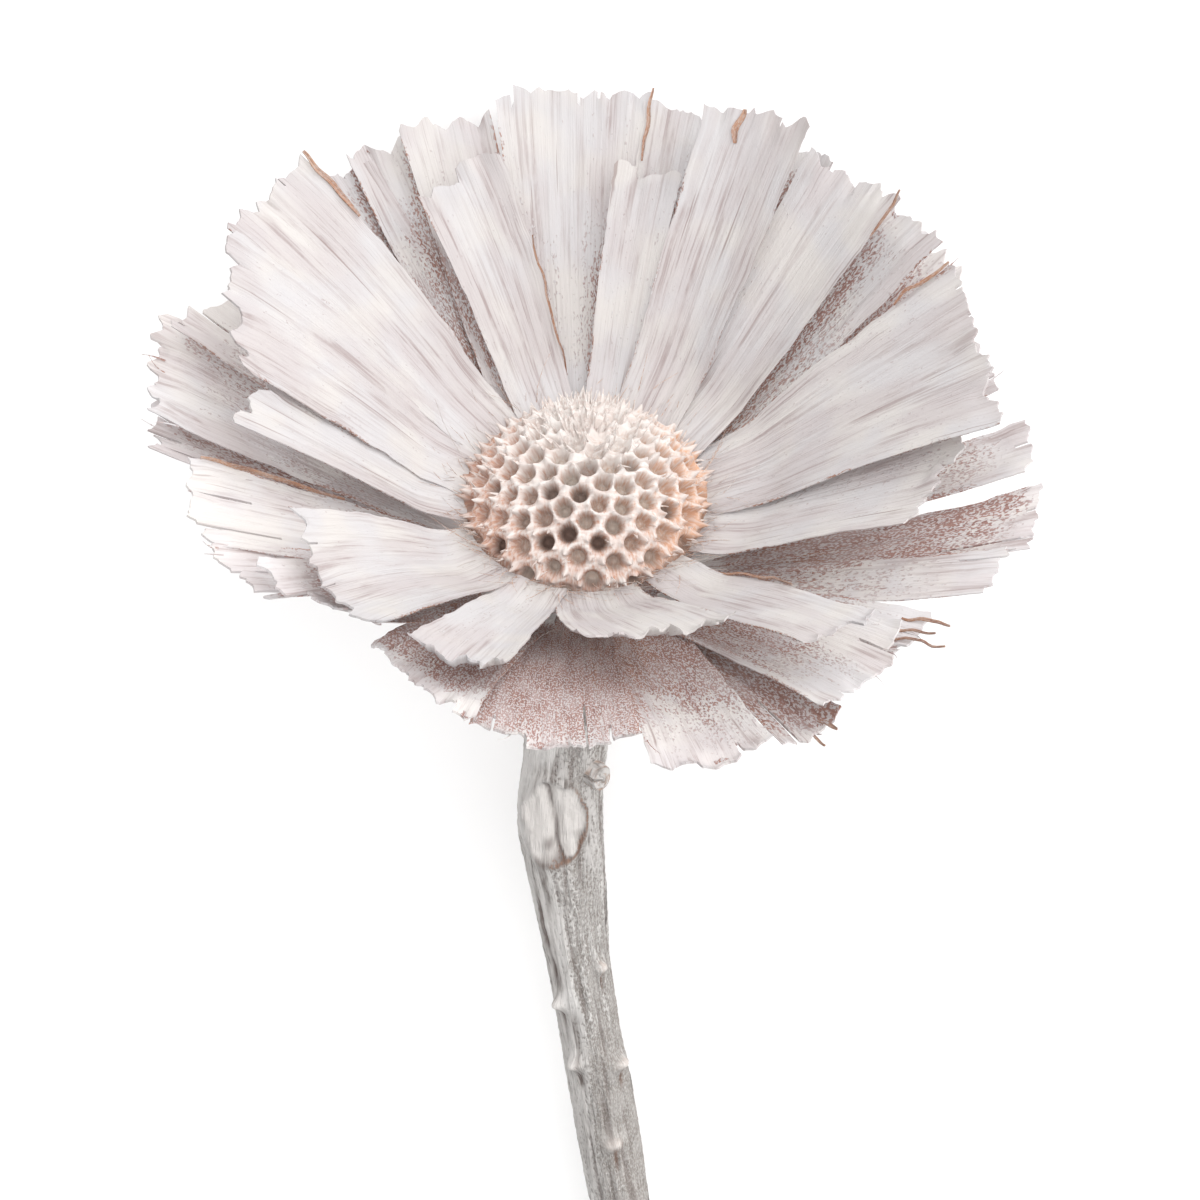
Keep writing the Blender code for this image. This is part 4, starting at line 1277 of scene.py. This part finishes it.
def stem(skin):
    """The bark, with its lengthwise grooves and plates, the oval scar, leaf scars with painted shadow below
    them, and slits.
    """
    along, line, ahead = stem_line()
    angle = np.linspace(0.0, 2.0 * math.pi, STEM_SIDES, endpoint=False)
    down, turn = np.meshgrid(along, angle, indexing="ij")
    groove, bark = bark_relief(down, turn)
    raised, inside, brown = knot_scar(down, turn)
    slits_and_painted_shadows, scars = bark_marks(down, turn)
    radius = stem_radius(down, turn) + bark * (1.0 - 0.8 * inside) + raised - 0.5 * slits_and_painted_shadows + 0.9 * scars
    first, second = stem_axes(ahead)
    spread = first[:, None] * np.cos(turn)[..., None] + second[:, None] * np.sin(turn)[..., None]
    points = (line[:, None] + spread * radius[..., None]).reshape(-1, 3)
    left = smoothstep((90.0 - np.abs(off_angle(turn, LEFT_SIDE))) / 50.0)
    dark_and_painted_shade = slits_and_painted_shadows + 0.6 * brown + 0.35 * smoothstep((-groove - 0.3) / 0.4) * (1.0 - inside)
    looks = {
        "paint": weighed(STEM_PAINT, scar=inside, left=left, ridge=bark, brown=brown,
                         far=smoothstep((down - 40.0) / 35.0)),
        "tone": weighed(STEM_TONE, leaf_scar=scars, scar=inside, slit=slits_and_painted_shadows, brown=brown),
        "depth": dark_and_painted_shade.clip(0.0, 0.8),
        "film": 0.85 * np.clip(inside + scars, 0.0, 1.0) * (1.0 - brown),
    }
    looks = {name: np.pad(value.ravel(), 1, constant_values=CUT_END) for name, value in looks.items()}
    grain = np.pad(stacked(turn * BARK_RADIUS, down, 0.0).reshape(-1, 3), ((1, 1), (0, 0)), "edge")
    points = np.concatenate([line[:1], points, line[-1:]])
    skin.add(points, tube_faces(STEM_RINGS, STEM_SIDES), grain, **looks)


def stub(skin):
    """The stub of a side twig, cut off just clear of the stem."""
    along, line, ahead = stem_line()
    number = int(np.argmin(np.abs(along - STUB_ALONG)))
    first, second = stem_axes(ahead)
    angle = math.radians(STUB_ANGLE)
    outward = first[number] * math.cos(angle) + second[number] * math.sin(angle)
    reach, radii = np.array(STUB_RINGS).T
    aside = STUB_WANDER * patches(reach, reach, 1.0, 1.0, 44)
    path = line[number] + outward * reach[:, None] + ahead[number] * aside[:, None]
    tube(skin, path, radii, 20, 0.6, 0.5)


def basal_scales(skin):
    """The short scales that close the underside of the head, in rings on a tapering sleeve."""
    ring(skin, BASAL_SLEEVE, 0.2, 0.2)
    draw = random.Random(SCALE_SEED)
    for number, (count, *sizes) in enumerate(SCALE_RINGS):
        for item in range(count):
            azimuth = 2.0 * math.pi * (item + 0.5 * number + SCALE_OFFSET) / count
            basal_scale(skin, azimuth, *sizes, draw.randint(0, 999))


def basal_scale(skin, azimuth, radius, height, lift, length, width, seed):
    """One short basal scale: a pointed oval, thick at its root, ridged along."""
    outward, sideways = ring_ways(azimuth)
    cos, sin = math.cos(math.radians(lift)), math.sin(math.radians(lift))
    forward = outward * cos + (0.0, 0.0, sin)
    upward = outward * -sin + (0.0, 0.0, cos)
    across, along = sheet_grid(14, 18)
    half = np.interp(along, *SCALE_OUTLINE) * width / 2
    place = across * half
    wander = 0.1 * drift(along * length, 0.5, seed + 1) * across
    rise = 0.18 * half * np.abs(across) ** 1.5 + 0.10 * patches(place, along * length, 0.5, 6.0, seed)
    thick = (0.45 + 0.7 * (1.0 - along)) * (1.0 - 0.6 * np.abs(across) ** 6)
    top = outward * radius + (0.0, 0.0, height) + forward * (along * length)[..., None]
    top = top + sideways * (place + wander)[..., None] + upward * rise[..., None]
    skin.add_sheet(top, top - upward * thick[..., None], stacked(place, along * length, seed * 1.7),
                   paint=0.35, tone=0.2)


def heart():
    """The dome with its scales and bristles, the basal scales, and the stem."""
    creams = CREAM, WARM_WHITE, CREAM_ROSE, CREAM_ROSE, ASH
    browns = DARK_MAUVE, TAN, DARK_BROWN, WARM_WHITE, COOL_WHITE, MAUVE_WHITE, STREAK, ASH
    greys = BARK_BROWN, TAN, BARK_DARK, BARK_WHITE, BARK_GREY, BARK_GREY, BARK_STREAK, WARM_WHITE
    # The dome, its scales, the bristles and the bark have their colours lifted likewise, as painted light
    # for the shade they lie in.
    pitted = whitewash("pitted_wood_wash", (ROSE, ORANGE, TAN, *creams), (1.6, 1.6), 0.80, specks=0.5,
                       fibres=0.3, relief=0.0001, streaky=0.3, paint_edge=(0.15, 0.85), thin=0.0)
    scaly = whitewash("brown_scale_wash", browns, (2.0, 0.2), 0.9, specks=0.8, paint_edge=(0.2, 0.8),
                      thin=0.3)
    fine = whitewash("bristle_wash", (TAN, ORANGE, MAUVE, *creams), (2.0, 0.2), 0.9)
    bark = whitewash("bark_wash", greys, (2.4, 0.12), 0.77, specks=0.8, fibres=0.8, relief=0.0003,
                     streaky=0.9, paint_edge=(0.25, 0.75), thin=0.0)
    for name, parts, material, slot, nodes in (
        ("dome_fine", (dome, cone), pitted, "pitted_wood", ("receptacle",)),
        ("dome_scales", (papery_scales,), pitted, "pitted_wood", ()),
        ("bristles", (bristles,), fine, "brown_scale", ()),
        ("basal_scales_fine", (basal_scales,), scaly, "brown_scale", ("basal_scales",)),
        ("stem_fine", (stem, stub), bark, "bark", ("stem",)),
    ):
        skin = Skin()
        for part in parts:
            part(skin)
        skin.piece(name, material, slot, nodes)


def make_floor():
    """The pale floor that the flower lies on."""
    material, tree, shader = new_material("pale_floor", 0.9)
    spot = scaled(tree, add_node(tree, "ShaderNodeTexCoord", {}).outputs["Object"], (3.0, 3.0, 3.0))
    pale = mix(tree, noise(tree, spot), (0.95, 0.95, 0.95, 1.0), (0.97, 0.97, 0.97, 1.0))
    tree.links.new(pale, shader.inputs["Base Color"])
    mesh = bpy.data.meshes.new("floor")
    corners = [(x * FLOOR_REACH, y * FLOOR_REACH, 0.0) for x, y in ((-1, -1), (1, -1), (1, 1), (-1, 1))]
    mesh.from_pydata(corners, [], [(0, 1, 2, 3)])
    mesh.materials.append(material)
    floor = bpy.data.objects.new("floor", mesh)
    bpy.context.scene.collection.objects.link(floor)


def make_light():
    """Soft light from all round, a wide key light and a fill."""
    scene = bpy.context.scene
    world = bpy.data.worlds.new("studio")
    world.use_nodes = True
    tree = world.node_tree
    background = tree.nodes["Background"]
    background.inputs["Color"].default_value = (1.0, 1.0, 1.0, 1.0)
    way = add_node(tree, "ShaderNodeTexCoord", {}).outputs["Generated"]
    toward = {0: way, 1: WORLD_TURN @ KEY_WAY}
    facing = add_node(tree, "ShaderNodeVectorMath", toward, operation="DOT_PRODUCT").outputs["Value"]
    strength = math_node(tree, "MULTIPLY_ADD", facing, ROUND_SLOPE * ROUND_STRENGTH, ROUND_STRENGTH)
    tree.links.new(strength, background.inputs["Strength"])
    scene.world = world
    scene.view_settings.view_transform = "Standard"
    for name, strength, way in (("key", KEY_STRENGTH, KEY_WAY), ("fill", FILL_STRENGTH, FILL_WAY)):
        lamp = bpy.data.lights.new(name, "SUN")
        lamp.angle = math.radians(SUN_WIDTH)
        lamp.energy = strength
        lamp.use_shadow = name == "key"
        light = bpy.data.objects.new(name, lamp)
        scene.collection.objects.link(light)
        light.rotation_mode = "QUATERNION"
        light.rotation_quaternion = (WORLD_TURN @ way).to_track_quat("Z", "Y")


def make_camera():
    """The camera, square enough on the flower's face to show it as in the picture."""
    scene = bpy.context.scene
    right = Vector((1.0, 0.0, 0.0))
    up = Vector((0.0, math.sin(VIEW_TILT), math.cos(VIEW_TILT)))
    back = Vector((0.0, -math.cos(VIEW_TILT), math.sin(VIEW_TILT)))
    aside = (DOME_PIXEL[0] - IMAGE_SIZE / 2) / PIXELS_PER_MM
    above = (IMAGE_SIZE / 2 - DOME_PIXEL[1]) / PIXELS_PER_MM
    lens = bpy.data.cameras.new("camera")
    lens.sensor_width = SENSOR_WIDTH
    lens.lens = PIXELS_PER_MM * VIEW_DISTANCE / IMAGE_SIZE * SENSOR_WIDTH
    lens.clip_start = 0.01
    camera = bpy.data.objects.new("camera", lens)
    scene.collection.objects.link(camera)
    camera.rotation_mode = "QUATERNION"
    camera.rotation_quaternion = (WORLD_TURN @ Matrix((right, up, back)).transposed()).to_quaternion()
    camera.location = TO_WORLD @ (back * VIEW_DISTANCE - right * aside - up * above)
    scene.camera = camera


bracts()
heart()
make_floor()
make_light()
make_camera()
